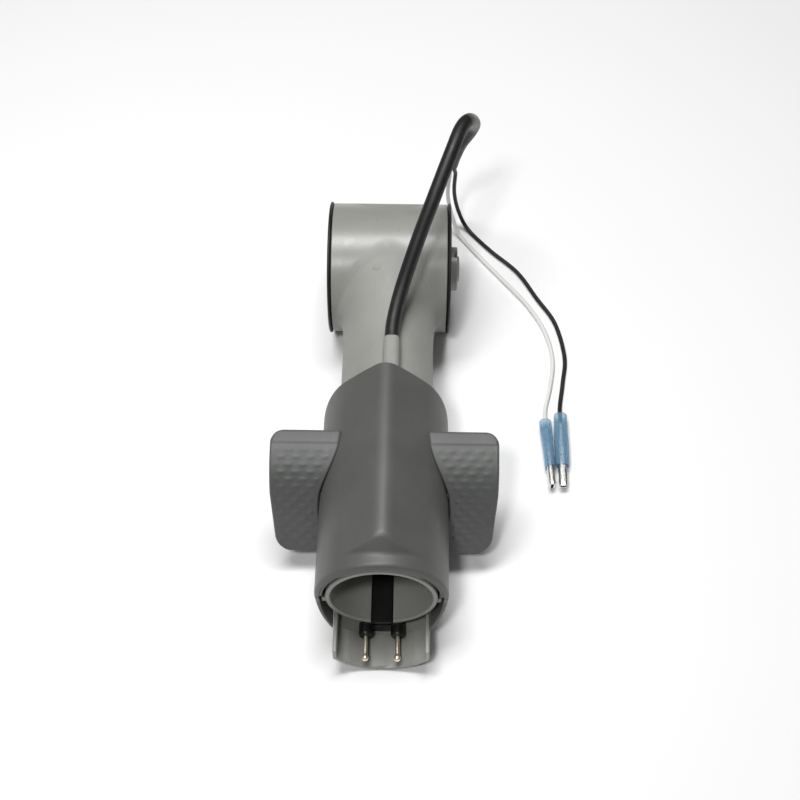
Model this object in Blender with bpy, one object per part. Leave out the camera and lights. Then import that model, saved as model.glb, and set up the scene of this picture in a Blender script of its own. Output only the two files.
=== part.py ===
"""Pivot neck of a powered vacuum-cleaner floor nozzle.

Metres, +Z up. The origin is the centre of the right trunnion's end face, +X points out along the tilt
axis, the wand socket opens towards -Y and the roofed side of the cover faces +Z. The functions work in
millimetres from the middle of the pivot drum, and the empty "assembly" places that point in the world.
"""

import math

import bmesh
import bpy
from mathutils import Vector

MM = 0.001
WELD = 1e-4
SMOOTH_ANGLE = math.radians(32)
ROUND = 48

# Pivot drum and its ends
DRUM_RADIUS = 25.6
DRUM_WALL = 2.0
DRUM_HALF = 22.5
SEAL_IN, SEAL_OUT = 22.8, 24.0
SEAL_INNER_RADIUS = 21.5
SEAL_OUTER_RADIUS = 26.2
CAP_RADIUS = 23.3
CAP_HUB_RADIUS = 21.2
CAP_INNER_END, CAP_OUTER_END = 19.7, 22.2
CAP_HUB_END = 23.7
TRUNNION_RADIUS = 8.75
TRUNNION_TIP_RADIUS = 5.0
TRUNNION_ENDS = {1: (26.9, 27.7), -1: (24.1, 24.6)}
TRUNNION_SLOT_DEPTH = 2.1
PORT_ANGLES = (-62, 28)
PORT_HALF_WIDTH = 17.0

# Neck and wand socket, along -Y
NECK_RADIUS = 17.3
NECK_BORE = 15.3
SOCKET_RADIUS = 19.2
SOCKET_BORE = 17.6
SOCKET_START = -120.0
SOCKET_STOP = -122.0
MOUTH = -148.0
PLUG_SLOT_HALF = 3.9
PLUG_SLOT_START = -124.2

# Cord conduit on top of the neck
CONDUIT_X = 1.7
CONDUIT_HALF = 3.0
CONDUIT_TOP = 23.5
CONDUIT_FRONT, CONDUIT_REAR = -72.0, -52.0
CHANNEL_HALF = 1.6
CHANNEL_FLOOR, CHANNEL_TOP = 17.6, 22.6

# Cover
COVER_RADIUS = 23.0
COVER_WALL = 1.8
ROOF_SLOPE = math.radians(39)
RIDGE_ROUND = 6.0
RIDGE_TOP = 27.9
COVER_FRONT = -147.8
COVER_REAR = -68.0
REAR_CURVE = 0.0118
FRONT_LEAN = 0.42
FRONT_LEAN_START = -3.0
FLANGE_REAR = -143.5
FLANGE_RADII = (19.4, 20.2)
FLANGE_TURN = 42.0
REAR_WALL = 2.0
REAR_WALL_RADIUS = 17.7
HIP_FOOT = -143.1
HIP_BOW = 6.5
HIP_SLOPE = 1.0
RIDGE_END = -137.0
SPLIT_GAP = 0.15
TAB_REACH = 20.6
TAB_YS = (-147.0, -144.0)
TAB_ZS = (-4.2, -1.8)
PEDAL_SLOT = (-110.4, -97.6)
PEDAL_SLOT_HALF = 6.3

# Plug housing under the socket
HOUSING_HALF = 16.7
HOUSING_BOTTOM_RADIUS = 20.5
HOUSING_CENTRE_Z = -6.5
HOUSING_WALL = 1.5
HOUSING_TOP = -12.5
HOUSING_FRONT, HOUSING_REAR = -162.0, -112.0
PIN_X = 5.6
PIN_Z = -21.3
PLUG_HALF = 7.4
PLUG_REAR = -121.0
PIN_TAIL = -116.4
GUIDE_RIB = (2.7, 3.5)

# Release pedal and latch
SADDLE = (-117.0, -105.0)
ARM_FRONT = -110.0
ARM_HALF = 5.0
SADDLE_INNER, SADDLE_OUTER = 17.7, 20.7
TREAD_SPAN = 40.5
TREAD_TAPER = 1.7
TREAD_THICK = 3.0
TREAD_GAP = 0.4
TREAD_TUCK = -7.0
TREAD_PROFILE = (
    (-90.5, 17.8), (-96.0, 17.2), (-101.0, 15.6), (-105.2, 13.0),
    (-108.9, 8.9), (-112.0, 3.0), (-116.2, -6.5), (-121.0, -17.0),
)
PAWL_HALF = 2.0
PIVOT_Y, PIVOT_Z = -91.0, 20.6
PIVOT_PIN_RADIUS = 0.8
PIVOT_HOLE_RADIUS = 0.9
SPRING_STOP = (-92.0, -90.0)
SPRING_ANGLE = 45.0
SPRING_CENTRE_RADIUS = 19.2

# Wiring
WIRE_RADIUS = 0.85
WIRE_OFFSET = 0.98
SLEEVE_RADIUS = 2.7
SLEEVE_BORE = 2.1
TABLE_WIRE_Z = -25.9
TERMINAL_Z = -23.6
TERMINAL_ENDS = {1: ((68.0, -55.0), (67.6, -87.6)), -1: ((61.9, -58.0), (63.3, -87.6))}
# The cord's middle line: up over the drum, then down behind it
CORD_RISE = ((2.2, -45, 22.0), (5.1, -33.5, 27.5), (10.9, -20.5, 40), (16.8, -9, 51.5), (22.8, 5.5, 59.5))
CORD_TURN = (
    (26.4, 15.5, 61.9), (29.5, 21.9, 60), (31.5, 25.8, 54.5), (30.4, 30.4, 46),
    (27.5, 34.6, 36), (25.4, 37.8, 26), (24.3, 40.0, 18.5),
)
# (degrees round the neck, y) of a wire under the cover
WIRE_TURNS = ((-73, -107), (-72, -101), (-50, -95), (-20, -90.5), (8, -87), (34, -84), (54, -81.6))
# Each wire's drop from the sleeve to the table, and its (x, y) places on the table
WIRE_DROP = {
    1: ((26.4, 45.6, 8), (26.4, 48.2, -6), (28.6, 48.6, -18), (33.0, 44.6, -25.3)),
    -1: ((24.0, 43.6, 9), (23.6, 45.8, -5), (25.6, 45.6, -17), (29.4, 41.0, -25.3)),
}
WIRE_ON_TABLE = {
    1: ((42.4, 33.0), (53.7, 20.8), (61.5, 6.5), (68.5, -6.8), (71.6, -24), (70.2, -37), (68.4, -49)),
    -1: ((38.0, 29.0), (48.4, 15.1), (57.5, 2.5), (64.0, -11.0), (66.6, -26), (64.8, -40), (62.4, -51)),
}
WIRE_ENDS = {1: (68.0, -57.0, TERMINAL_Z), -1: (62.1, -60.0, TERMINAL_Z)}

# Fasteners
COVER_SCREW_YS = (-101.0, -82.0)
HOUSING_SCREW_X, HOUSING_SCREW_Y = 10.0, -130.0

# EXACT leaves open edges in these shapes, which have many joined bosses
MANIFOLD_TARGETS = ("neck_tube", "upper_cover")

# name: (colour, roughness, metallic)
MATERIALS = {
    "light_grey": ((0.36, 0.36, 0.33), 0.38, 0.0),
    "dark_grey": ((0.105, 0.105, 0.10), 0.45, 0.0),
    "pedal_grey": ((0.13, 0.135, 0.13), 0.55, 0.0),
    "rubber_black": ((0.012, 0.012, 0.012), 0.7, 0.0),
    "black_plastic": ((0.01, 0.01, 0.01), 0.4, 0.0),
    "brass": ((0.72, 0.52, 0.22), 0.28, 1.0),
    "steel": ((0.6, 0.6, 0.6), 0.3, 1.0),
    "white_insulation": ((0.8, 0.8, 0.78), 0.4, 0.0),
    "blue_nylon": ((0.13, 0.38, 0.66), 0.35, 0.0),
    "acetal": ((0.7, 0.7, 0.68), 0.4, 0.0),
}


def clear_scene():
    for found in list(bpy.data.objects):
        bpy.data.objects.remove(found, do_unlink=True)


def make_material(name, colour, roughness, metallic):
    material = bpy.data.materials.new(name)
    material.use_nodes = True
    shader = material.node_tree.nodes["Principled BSDF"]
    shader.inputs["Base Color"].default_value = (*colour, 1.0)
    shader.inputs["Roughness"].default_value = roughness
    shader.inputs["Metallic"].default_value = metallic
    return material


def make_assembly():
    empty = bpy.data.objects.new("assembly", None)
    bpy.context.scene.collection.objects.link(empty)
    empty.location.x = -TRUNNION_ENDS[1][1] * MM
    return empty


def finish(name, bm, origin=(0, 0, 0)):
    """Turns a bmesh in millimetres into an object whose origin is the given point."""
    bmesh.ops.remove_doubles(bm, verts=bm.verts, dist=WELD)
    bmesh.ops.recalc_face_normals(bm, faces=bm.faces)
    bmesh.ops.translate(bm, vec=-Vector(origin), verts=bm.verts)
    bmesh.ops.scale(bm, vec=(MM, MM, MM), verts=bm.verts)
    mesh = bpy.data.meshes.new(name)
    bm.to_mesh(mesh)
    bm.free()
    mesh.shade_smooth()
    mesh.set_sharp_from_angle(angle=SMOOTH_ANGLE)
    made = bpy.data.objects.new(name, mesh)
    bpy.context.scene.collection.objects.link(made)
    made.parent = ASSEMBLY
    made.location = Vector(origin) * MM
    return made


def paint(made, material):
    made.data.materials.append(PAINT[material])
    return made


def combine(target, helper, operation):
    """Adds a Boolean to target, and turns the other object into a hidden helper."""
    modifier = target.modifiers.new(operation.lower() + "_" + helper.name, "BOOLEAN")
    modifier.operation = operation
    modifier.solver = "MANIFOLD" if target.name in MANIFOLD_TARGETS else "EXACT"
    modifier.object = helper
    helper.hide_render = True
    helper.display_type = "WIRE"
    return target


def add(target, helper):
    return combine(target, helper, "UNION")


def cut(target, helper):
    return combine(target, helper, "DIFFERENCE")


# ---- Shapes -------------------------------------------------------------------------------------------


def arc(centre, radius, start, end, count):
    """Points on a circle, from one angle in degrees to another, both included."""
    found = []
    for i in range(count + 1):
        angle = math.radians(start + (end - start) * i / count)
        found.append((centre[0] + radius * math.cos(angle), centre[1] + radius * math.sin(angle)))
    return found


def rectangle(low, high):
    return [(low[0], low[1]), (high[0], low[1]), (high[0], high[1]), (low[0], high[1])]


def on_axis(axis, a, b, along):
    """A point from its two places across an axis and its place along it."""
    return {"X": (along, a, b), "Y": (a, along, b), "Z": (a, b, along)}[axis]


def prism(name, outline, axis, start, end, origin=(0, 0, 0)):
    """A closed outline extruded along an axis. Its points are YZ, XZ or XY for the axes X, Y or Z."""
    bm = bmesh.new()
    face = bm.faces.new([bm.verts.new(on_axis(axis, a, b, start)) for a, b in outline])
    moved = bmesh.ops.extrude_face_region(bm, geom=[face])["geom"]
    shift = Vector(on_axis(axis, 0, 0, end - start))
    bmesh.ops.translate(bm, vec=shift, verts=[v for v in moved if isinstance(v, bmesh.types.BMVert)])
    return finish(name, bm, origin)


def box(name, low, high):
    return prism(name, rectangle(low[:2], high[:2]), "Z", low[2], high[2])


def turned(name, profile, axis, centre=(0, 0, 0), steps=ROUND):
    """A closed profile of (radius, place along) points spun about the axis through centre."""
    bm = bmesh.new()
    across = {"X": (0, 1, 0), "Y": (1, 0, 0), "Z": (1, 0, 0)}[axis]
    line = {"X": (1, 0, 0), "Y": (0, 1, 0), "Z": (0, 0, 1)}[axis]
    middle = Vector(centre)
    verts = [bm.verts.new(middle + Vector(across) * r + Vector(line) * t) for r, t in profile]
    for i, (radius, _) in enumerate(profile):
        following = (i + 1) % len(profile)
        if radius > 0 or profile[following][0] > 0:
            bm.edges.new((verts[i], verts[following]))
    bmesh.ops.spin(
        bm, geom=bm.verts[:] + bm.edges[:], cent=middle, axis=line, angle=math.tau, steps=steps
    )
    return finish(name, bm)


def rod(name, radius, axis, centre, start, end, steps=ROUND):
    return turned(name, [(0, start), (radius, start), (radius, end), (0, end)], axis, centre, steps)


def frames_along(centres, up):
    """The point, normal and binormal at each place of a path, turning no more than the path itself does."""
    found = []
    normal = Vector(up)
    for i, centre in enumerate(centres):
        ahead = centres[min(i + 1, len(centres) - 1)]
        behind = centres[max(i - 1, 0)]
        tangent = (Vector(ahead) - Vector(behind)).normalized()
        normal = (normal - tangent * normal.dot(tangent)).normalized()
        found.append((Vector(centre), normal.copy(), tangent.cross(normal)))
    return found


def ring_at(bm, frame, wide, tall, sides):
    """A ring of vertices round one frame, wide along its binormal and tall along its normal."""
    centre, normal, binormal = frame
    verts = []
    for i in range(sides):
        angle = math.tau * i / sides
        verts.append(bm.verts.new(centre + binormal * wide * math.cos(angle) + normal * tall * math.sin(angle)))
    return verts


def bridge(bm, first, second):
    for i in range(len(first)):
        following = (i + 1) % len(first)
        bm.faces.new((first[i], first[following], second[following], second[i]))


def swept(name, centres, sizes, sides, up=(0, 0, 1), bores=None):
    """A round or oval section carried along a path. With bores it is a tube open at both ends."""
    bm = bmesh.new()
    frames = frames_along(centres, up)
    outer = [ring_at(bm, f, w, t, sides) for f, (w, t) in zip(frames, sizes)]
    for first, second in zip(outer, outer[1:]):
        bridge(bm, first, second)
    if bores is None:
        bm.faces.new(outer[0])
        bm.faces.new(outer[-1])
        return finish(name, bm)
    inner = [ring_at(bm, f, w, t, sides) for f, (w, t) in zip(frames, bores)]
    for first, second in zip(inner, inner[1:]):
        bridge(bm, first, second)
    bridge(bm, outer[0], inner[0])
    bridge(bm, outer[-1], inner[-1])
    return finish(name, bm)


def smooth_path(points, steps):
    """A Catmull-Rom curve through the points."""
    padded = [points[0], *points, points[-1]]
    found = []
    for a, b, c, d in zip(padded, padded[1:], padded[2:], padded[3:]):
        a, b, c, d = Vector(a), Vector(b), Vector(c), Vector(d)
        for i in range(steps):
            t = i / steps
            bend = (2 * a - 5 * b + 4 * c - d) * t**2 + (3 * b - a - 3 * c + d) * t**3
            found.append(0.5 * (2 * b + (c - a) * t + bend))
    found.append(Vector(points[-1]))
    return found


def coil(name, centre, axis, radius, wire, length, turns, per_turn=8, sides=4):
    """A compression spring that starts at centre and runs along +Y or +Z."""
    along, side = {"Y": ((0, 1, 0), (1, 0, 0)), "Z": ((0, 0, 1), (1, 0, 0))}[axis]
    other = Vector(along).cross(Vector(side))
    centres = []
    for i in range(int(turns * per_turn) + 1):
        angle = math.tau * i / per_turn
        across = Vector(side) * math.cos(angle) + other * math.sin(angle)
        centres.append(Vector(centre) + across * radius + Vector(along) * length * i / (turns * per_turn))
    return swept(name, centres, [(wire, wire)] * len(centres), sides, up=along)


# ---- Neck and drum --------------------------------------------------------------------------------------


def make_neck_tube():
    profile = [(0, 0), (NECK_RADIUS, 0), (NECK_RADIUS, SOCKET_START + 2.0)]
    profile += [(SOCKET_RADIUS, SOCKET_START), (SOCKET_RADIUS, MOUTH), (0, MOUTH)]
    neck = paint(turned("neck_tube", profile, "Y"), "light_grey")
    add(neck, rod("drum_outside", DRUM_RADIUS, "X", (0, 0, 0), -DRUM_HALF, DRUM_HALF, 72))
    add_conduit(neck)
    for side in (-1, 1):
        add_pivot_lug(neck, side)
        add_spring_stop(neck, side)
        place = (side * HOUSING_SCREW_X, HOUSING_SCREW_Y, 0)
        add(neck, rod(f"housing_boss_{side}", 2.0, "Z", place, -20.9, -14, 20))
        low, high = sorted((side * (SOCKET_RADIUS - 0.9), side * TAB_REACH))
        add(neck, box(f"mouth_tab_{side}", (low, TAB_YS[0], TAB_ZS[0]), (high, TAB_YS[1], TAB_ZS[1])))
    for n, y in enumerate(COVER_SCREW_YS):
        add(neck, rod(f"cover_boss_{n}", 2.6, "Z", (0, y, 0), -20.9, -16.2, 24))
        cut(neck, rod(f"cover_boss_hole_{n}", 1.1, "Z", (0, y, 0), -22.0, -16.4, 16))
    cut(neck, rod("drum_inside", DRUM_RADIUS - DRUM_WALL, "X", (0, 0, 0), -30, 30, 72))
    bore = [(0, 5), (NECK_BORE, 5), (NECK_BORE, SOCKET_STOP), (SOCKET_BORE, SOCKET_STOP)]
    cut(neck, turned("airway", bore + [(SOCKET_BORE, MOUTH - 5), (0, MOUTH - 5)], "Y"))
    cut_openings(neck)
    return neck


def add_conduit(neck):
    side = CONDUIT_HALF
    crown = CONDUIT_TOP - side
    outline = [(CONDUIT_X - side, 12), (CONDUIT_X + side, 12)]
    outline += arc((CONDUIT_X, crown), side, 0, 180, 10)
    add(neck, prism("conduit_outside", outline, "Y", CONDUIT_FRONT, CONDUIT_REAR))


def add_pivot_lug(neck, side):
    """One of the two ears that hold the latch's pivot pin."""
    outline = [(PIVOT_Y - 2.0, 15.5), (PIVOT_Y + 2.0, 15.5)]
    outline += arc((PIVOT_Y, PIVOT_Z), 1.6, 0, 180, 8)
    low, high = sorted((side * 2.4, side * 4.2))
    add(neck, prism(f"pivot_lug_{side}", outline, "X", low, high))


def add_spring_stop(neck, side):
    """A block on the neck that a return spring pushes against."""
    angle = math.radians(90 - side * (90 - SPRING_ANGLE))
    out = Vector((math.cos(angle), math.sin(angle)))
    across = Vector((-out.y, out.x)) * 1.7
    outline = [out * 16.2 - across, out * 16.2 + across, out * 20.6 + across, out * 20.6 - across]
    add(neck, prism(f"spring_stop_{side}", [tuple(p) for p in outline], "Y", *SPRING_STOP))


def cut_openings(neck):
    channel = rectangle((CONDUIT_X - CHANNEL_HALF, CHANNEL_FLOOR), (CONDUIT_X + CHANNEL_HALF, CHANNEL_TOP))
    cut(neck, prism("conduit_channel", channel, "Y", CONDUIT_FRONT - 2, CONDUIT_REAR + 3))
    cut(neck, rod("pivot_hole", PIVOT_HOLE_RADIUS, "X", (0, PIVOT_Y, PIVOT_Z), -6, 6, 20))
    cut(neck, box("tooth_slot", (-2.4, -136.8, 15), (2.4, -131.2, 20.5)))
    cut(neck, box("plug_slot", (-PLUG_SLOT_HALF, MOUTH - 2, -20.5), (PLUG_SLOT_HALF, PLUG_SLOT_START, -15)))
    fan = [(8, -4)] + arc((0, 0), 30, *PORT_ANGLES, 10)
    cut(neck, prism("air_port", fan, "X", -PORT_HALF_WIDTH, PORT_HALF_WIDTH))
    for side in (-1, 1):
        place = (side * HOUSING_SCREW_X, HOUSING_SCREW_Y, 0)
        cut(neck, rod(f"housing_boss_hole_{side}", 0.9, "Z", place, -22, -17.2, 16))


def make_end_cap(name, side):
    """A disc that closes one end of the drum, with the trunnion it tilts on."""
    profile = [(0, CAP_INNER_END), (CAP_RADIUS, CAP_INNER_END)]
    profile += [(CAP_RADIUS, CAP_OUTER_END), (CAP_HUB_RADIUS, CAP_OUTER_END)]
    end, tip = TRUNNION_ENDS[side]
    profile += [(CAP_HUB_RADIUS, CAP_HUB_END), (TRUNNION_RADIUS, CAP_HUB_END), (TRUNNION_RADIUS, end)]
    profile += [(TRUNNION_TIP_RADIUS, end), (TRUNNION_TIP_RADIUS, tip), (0, tip)]
    cap = paint(turned(name, [(r, side * x) for r, x in profile], "X"), "light_grey")
    floor = max(tip - TRUNNION_SLOT_DEPTH, CAP_HUB_END + 0.05)
    low, high = sorted((side * floor, side * 30))
    for n, sign in enumerate((-1, 1)):
        slot = box(f"{name}_slot_{n}", (low, -1.4, sign * 7.6 - 2.2), (high, 1.4, sign * 7.6 + 2.2))
        cut(cap, slot)
    return cap


def make_end_seal(name, side):
    profile = [(SEAL_INNER_RADIUS, SEAL_IN), (SEAL_OUTER_RADIUS, SEAL_IN)]
    profile += [(SEAL_OUTER_RADIUS, SEAL_OUT), (SEAL_INNER_RADIUS, SEAL_OUT)]
    return paint(turned(name, [(r, side * x) for r, x in profile], "X"), "rubber_black")


def make_socket_seal():
    profile = [(15.6, SOCKET_STOP - 0.3), (17.3, SOCKET_STOP - 0.3), (17.3, -123.9), (15.6, -123.9)]
    return paint(turned("socket_seal", profile, "Y"), "rubber_black")


# ---- Cover ----------------------------------------------------------------------------------------------


def roof_radius(angle, radius, ridge):
    """Distance from the neck's axis to a roofed section, at an angle in radians from +X."""
    lean = abs(angle - math.pi / 2)
    if lean >= ROOF_SLOPE:
        return radius
    centre = radius / math.cos(ROOF_SLOPE) - ridge / math.cos(ROOF_SLOPE)
    flat = radius / math.cos(ROOF_SLOPE - lean)
    reach = centre * math.cos(lean) + math.sqrt(max(ridge**2 - (centre * math.sin(lean)) ** 2, 0))
    on_round = math.atan2(ridge * math.sin(ROOF_SLOPE), centre + ridge * math.cos(ROOF_SLOPE))
    return reach if lean < on_round else flat


def hip_height(angle, y, drop):
    """How far the sloping facet that ends the ridge stands over the round part, at a place on it."""
    foot = HIP_FOOT + HIP_BOW * math.cos(angle) ** 2
    return HIP_SLOPE * (y - foot) - drop


def cover_point(angle, y, inset):
    """A point of the cover's skin, inset millimetres inside its outer face."""
    radius = COVER_RADIUS - inset
    roofed = roof_radius(angle, radius, RIDGE_ROUND - inset)
    drop = inset * (math.sqrt(1 + HIP_SLOPE**2) - 1)
    found = max(radius, min(roofed, radius + hip_height(angle, y, drop)))
    return found * math.cos(angle), found * math.sin(angle)


def cover_angles(upper):
    start = math.asin(SPLIT_GAP / COVER_RADIUS)
    if not upper:
        return [math.pi + start + (math.pi - 2 * start) * i / 28 for i in range(29)]
    edge = math.pi / 2 - ROOF_SLOPE
    side = [start + (edge - start) * i / 7 for i in range(7)]
    right = side + [edge + ROOF_SLOPE * i / 12 for i in range(12)]
    return right + [math.pi / 2] + [math.pi - a for a in reversed(right)]


def rear_shift(z):
    """The rear edge is a curve: its lower parts sit further from the drum."""
    return -REAR_CURVE * (RIDGE_TOP - max(z, 0)) ** 2


def front_shift(z):
    """The front edge leans out below the middle."""
    return -FRONT_LEAN * max(FRONT_LEAN_START - z, 0)


def make_cover(name, upper):
    """Half of the cover: an outer and an inner skin, and an end wall that closes in on the neck."""
    angles = cover_angles(upper)
    front = [COVER_FRONT] + [RIDGE_END - 0.8 * i for i in range(9, -1, -1)]
    bm = bmesh.new()

    def skin(inset, ys, radius=None):
        rows = []
        for y in ys:
            row = []
            for angle in angles:
                x, z = cover_point(angle, y, inset)
                if radius:
                    x, z = radius * math.cos(angle), radius * math.sin(angle)
                shift = 0
                if y > RIDGE_END + 20:
                    shift = rear_shift(z)
                elif y == COVER_FRONT:
                    shift = front_shift(z)
                row.append(bm.verts.new((x, y + shift, z)))
            rows.append(row)
        return rows

    outer = skin(0, front + [COVER_REAR])
    inner = skin(COVER_WALL, front + [COVER_REAR - REAR_WALL])
    inner += skin(0, [COVER_REAR - REAR_WALL, COVER_REAR], REAR_WALL_RADIUS)
    for rows in (outer, inner):
        for first, second in zip(rows, rows[1:]):
            for i in range(len(angles) - 1):
                bm.faces.new((first[i], first[i + 1], second[i + 1], second[i]))
    for i in range(len(angles) - 1):
        bm.faces.new((outer[0][i], outer[0][i + 1], inner[0][i + 1], inner[0][i]))
        bm.faces.new((outer[-1][i], outer[-1][i + 1], inner[-1][i + 1], inner[-1][i]))
    for end in (0, -1):
        bm.faces.new([row[end] for row in outer] + [row[end] for row in reversed(inner)])
    return paint(finish(name, bm), "dark_grey")


def make_front_flange():
    """The lip that closes the cover in on the socket's mouth, closest over the top."""
    outline = arc((0, 0), COVER_RADIUS - COVER_WALL / 2, 3, 177, 36)
    for i in range(37):
        degrees = 177 - 174 * i / 36
        radius = FLANGE_RADII[0] if abs(degrees - 90) < FLANGE_TURN else FLANGE_RADII[1]
        angle = math.radians(degrees)
        outline.append((radius * math.cos(angle), radius * math.sin(angle)))
    return prism("front_flange", outline, "Y", COVER_FRONT + 0.2, FLANGE_REAR)


def make_covers():
    upper = make_cover("upper_cover", True)
    add(upper, make_front_flange())
    lower = make_cover("lower_cover", False)
    for side in (-1, 1):
        low, high = sorted((side * 18.0, side * 26.0))
        near = (low, PEDAL_SLOT[0], -PEDAL_SLOT_HALF)
        far = (high, PEDAL_SLOT[1], PEDAL_SLOT_HALF)
        slot = box(f"pedal_slot_{side}", near, far)
        cut(upper, slot)
        cut(lower, slot)
    notch = rectangle((CONDUIT_X - CONDUIT_HALF - 0.3, 12), (CONDUIT_X + CONDUIT_HALF + 0.3, CONDUIT_TOP + 0.3))
    cut(upper, prism("conduit_notch", notch, "Y", -75.5, -64))
    reach = HOUSING_HALF + 0.3
    cut(lower, box("housing_cutaway", (-reach, COVER_FRONT - 12, -30), (reach, HOUSING_REAR + 0.3, -11.5)))
    for n, y in enumerate(COVER_SCREW_YS):
        cut(lower, rod(f"cover_screw_hole_{n}", 1.35, "Z", (0, y, 0), -26, -18, 20))
    return upper, lower


# ---- Plug and its housing -------------------------------------------------------------------------------


def housing_outline(inset):
    """The trough's section: upright sides that run into a round bottom."""
    half = HOUSING_HALF - inset
    radius = HOUSING_BOTTOM_RADIUS - inset
    reach = math.degrees(math.acos(half / radius))
    bottom = arc((0, HOUSING_CENTRE_Z), radius, 180 + reach, 360 - reach, 20)
    return [(-half, HOUSING_TOP + inset), *bottom, (half, HOUSING_TOP + inset)]


def make_plug_housing():
    housing = prism("plug_housing", housing_outline(0), "Y", HOUSING_FRONT, HOUSING_REAR)
    paint(housing, "light_grey")
    inside = housing_outline(HOUSING_WALL)
    top = HOUSING_TOP + 4
    inside = [(inside[0][0], top), *inside[1:-1], (inside[-1][0], top)]
    cut(housing, prism("housing_inside", inside, "Y", HOUSING_FRONT - 2, HOUSING_REAR - HOUSING_WALL))
    clear = [(0, -150), (SOCKET_RADIUS + 0.3, -150), (SOCKET_RADIUS + 0.3, -100), (0, -100)]
    cut(housing, turned("socket_clearance", clear, "Y"))
    for side in (-1, 1):
        x = side * HOUSING_SCREW_X
        add(housing, rod(f"housing_pad_{side}", 2.2, "Z", (x, HOUSING_SCREW_Y, 0), -25.0, -21.2, 20))
        cut(housing, rod(f"housing_pad_hole_{side}", 1.0, "Z", (x, HOUSING_SCREW_Y, 0), -28, -18, 16))
        slot = (side * PIN_X - 1.5, side * PIN_X + 1.5)
        cut(housing, box(f"wire_slot_{side}", (slot[0], -114.5, -23.0), (slot[1], -111, -17)))
        low, high = sorted((side * GUIDE_RIB[0], side * GUIDE_RIB[1]))
        add(housing, box(f"guide_rib_{side}", (low, -161.2, -26.0), (high, -153.0, -24.3)))
    return housing


def make_plug_body():
    """The moulded plug: a block under the socket, a rib that fills the socket's slot, and two collars."""
    top = SOCKET_RADIUS + 0.3
    bottom = HOUSING_BOTTOM_RADIUS - HOUSING_WALL - 0.3
    spread = math.degrees(math.asin(PLUG_HALF / top))
    low = math.degrees(math.asin(PLUG_HALF / bottom))
    outline = arc((0, 0), top, 270 + spread, 270 - spread, 8)
    outline += arc((0, HOUSING_CENTRE_Z), bottom, 270 - low, 270 + low, 8)
    plug = paint(prism("plug_body", outline, "Y", MOUTH, PLUG_REAR), "black_plastic")
    rib = math.degrees(math.asin(3.6 / 17.9))
    rib_outline = arc((0, 0), 17.9, 270 + rib, 270 - rib, 6) + [(-3.6, -20.5), (3.6, -20.5)]
    add(plug, prism("plug_rib", rib_outline, "Y", MOUTH, PLUG_SLOT_START - 0.3))
    for side in (-1, 1):
        place = (side * PIN_X, 0, PIN_Z)
        add(plug, rod(f"plug_collar_{side}", 2.5, "Y", place, -152, MOUTH + 1, 20))
        cut(plug, rod(f"pin_bore_{side}", 1.1, "Y", place, -153, PLUG_REAR + 1, 16))
    return plug


def make_contact_pin(name, side):
    """A pin with a rounded tip, and a crimp barrel behind the plug."""
    tip = [(0, -161.2), (0.7, -161.05), (1.2, -160.4), (1.2, -159.6), (0.8, -158.6)]
    tail = [(0.8, PLUG_REAR + 0.3), (1.3, PLUG_REAR + 0.5), (1.3, PIN_TAIL), (0, PIN_TAIL)]
    return paint(turned(name, tip + tail, "Y", (side * PIN_X, 0, PIN_Z), 16), "brass")


# ---- Wiring -----------------------------------------------------------------------------------------------


def cord_centreline():
    """From the front of the conduit, up over the drum in an arch, to the sleeve's open end behind it."""
    middle = (CHANNEL_FLOOR + CHANNEL_TOP) / 2 + 0.15
    straight = [(CONDUIT_X, CONDUIT_FRONT - 2.5, middle), (CONDUIT_X, -62, middle), (CONDUIT_X, -53, middle)]
    return smooth_path([*straight, *CORD_RISE, *CORD_TURN], 2)


def inside_run(side, height):
    """A wire's way from its pin, round the neck under the cover, to the conduit."""
    ring = (NECK_RADIUS + COVER_RADIUS - COVER_WALL) / 2
    lift = ((0.3, 0), (2.2, 0.5), (4.6, 2.3))
    found = [(side * PIN_X, PIN_TAIL + y, PIN_Z + z) for y, z in lift]
    for degrees, y in WIRE_TURNS:
        angle = math.radians(degrees)
        found.append((side * ring * math.cos(angle), y, ring * math.sin(angle)))
    rise = (height - 18.4) / 2
    found.append((side * 7.0, -79.3, 18.2 + rise * 0.4))
    found.append((CONDUIT_X + side * 2.4, -77.2, 18.5 + rise * 1.5))
    return found


def outside_run(side):
    """A wire's way from the sleeve's end down to the table and round to its terminal."""
    on_table = [(x, y, TABLE_WIRE_Z) for x, y in WIRE_ON_TABLE[side]]
    return [*WIRE_DROP[side], *on_table, WIRE_ENDS[side]]


def make_wire(name, side, material):
    up = Vector((0, 0, 1))
    middle = []
    for centre, normal, _ in frames_along(cord_centreline(), up):
        middle.append(centre + normal * side * WIRE_OFFSET)
    start = inside_run(side, middle[0].z)
    path = smooth_path(start, 2) + middle + smooth_path(outside_run(side), 2)
    sizes = [(WIRE_RADIUS, WIRE_RADIUS)] * len(path)
    return paint(swept(name, path, sizes, 8), material)


def make_cord_sleeve():
    path = [p for p in cord_centreline() if p.y > CONDUIT_REAR + 0.3]
    outer = [(SLEEVE_RADIUS, SLEEVE_RADIUS)] * len(path)
    bores = [(SLEEVE_BORE, SLEEVE_BORE)] * len(path)
    return paint(swept("cord_sleeve", path, outer, 14, bores=bores), "rubber_black")


def make_cord_grommet():
    """A rubber block in the mouth of the conduit that grips both wires."""
    outline = rectangle((CONDUIT_X - 2.2, 17.7), (CONDUIT_X + 2.2, 23.2))
    grommet = paint(prism("cord_grommet", outline, "Y", CONDUIT_FRONT - 2.4, CONDUIT_FRONT - 0.3), "rubber_black")
    middle = (CHANNEL_FLOOR + CHANNEL_TOP) / 2 + 0.15
    for n, sign in enumerate((-1, 1)):
        place = (CONDUIT_X, 0, middle + sign * WIRE_OFFSET)
        cut(grommet, rod(f"grommet_hole_{n}", 1.1, "Y", place, CONDUIT_FRONT - 5, CONDUIT_FRONT + 3, 16))
    return grommet


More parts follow.
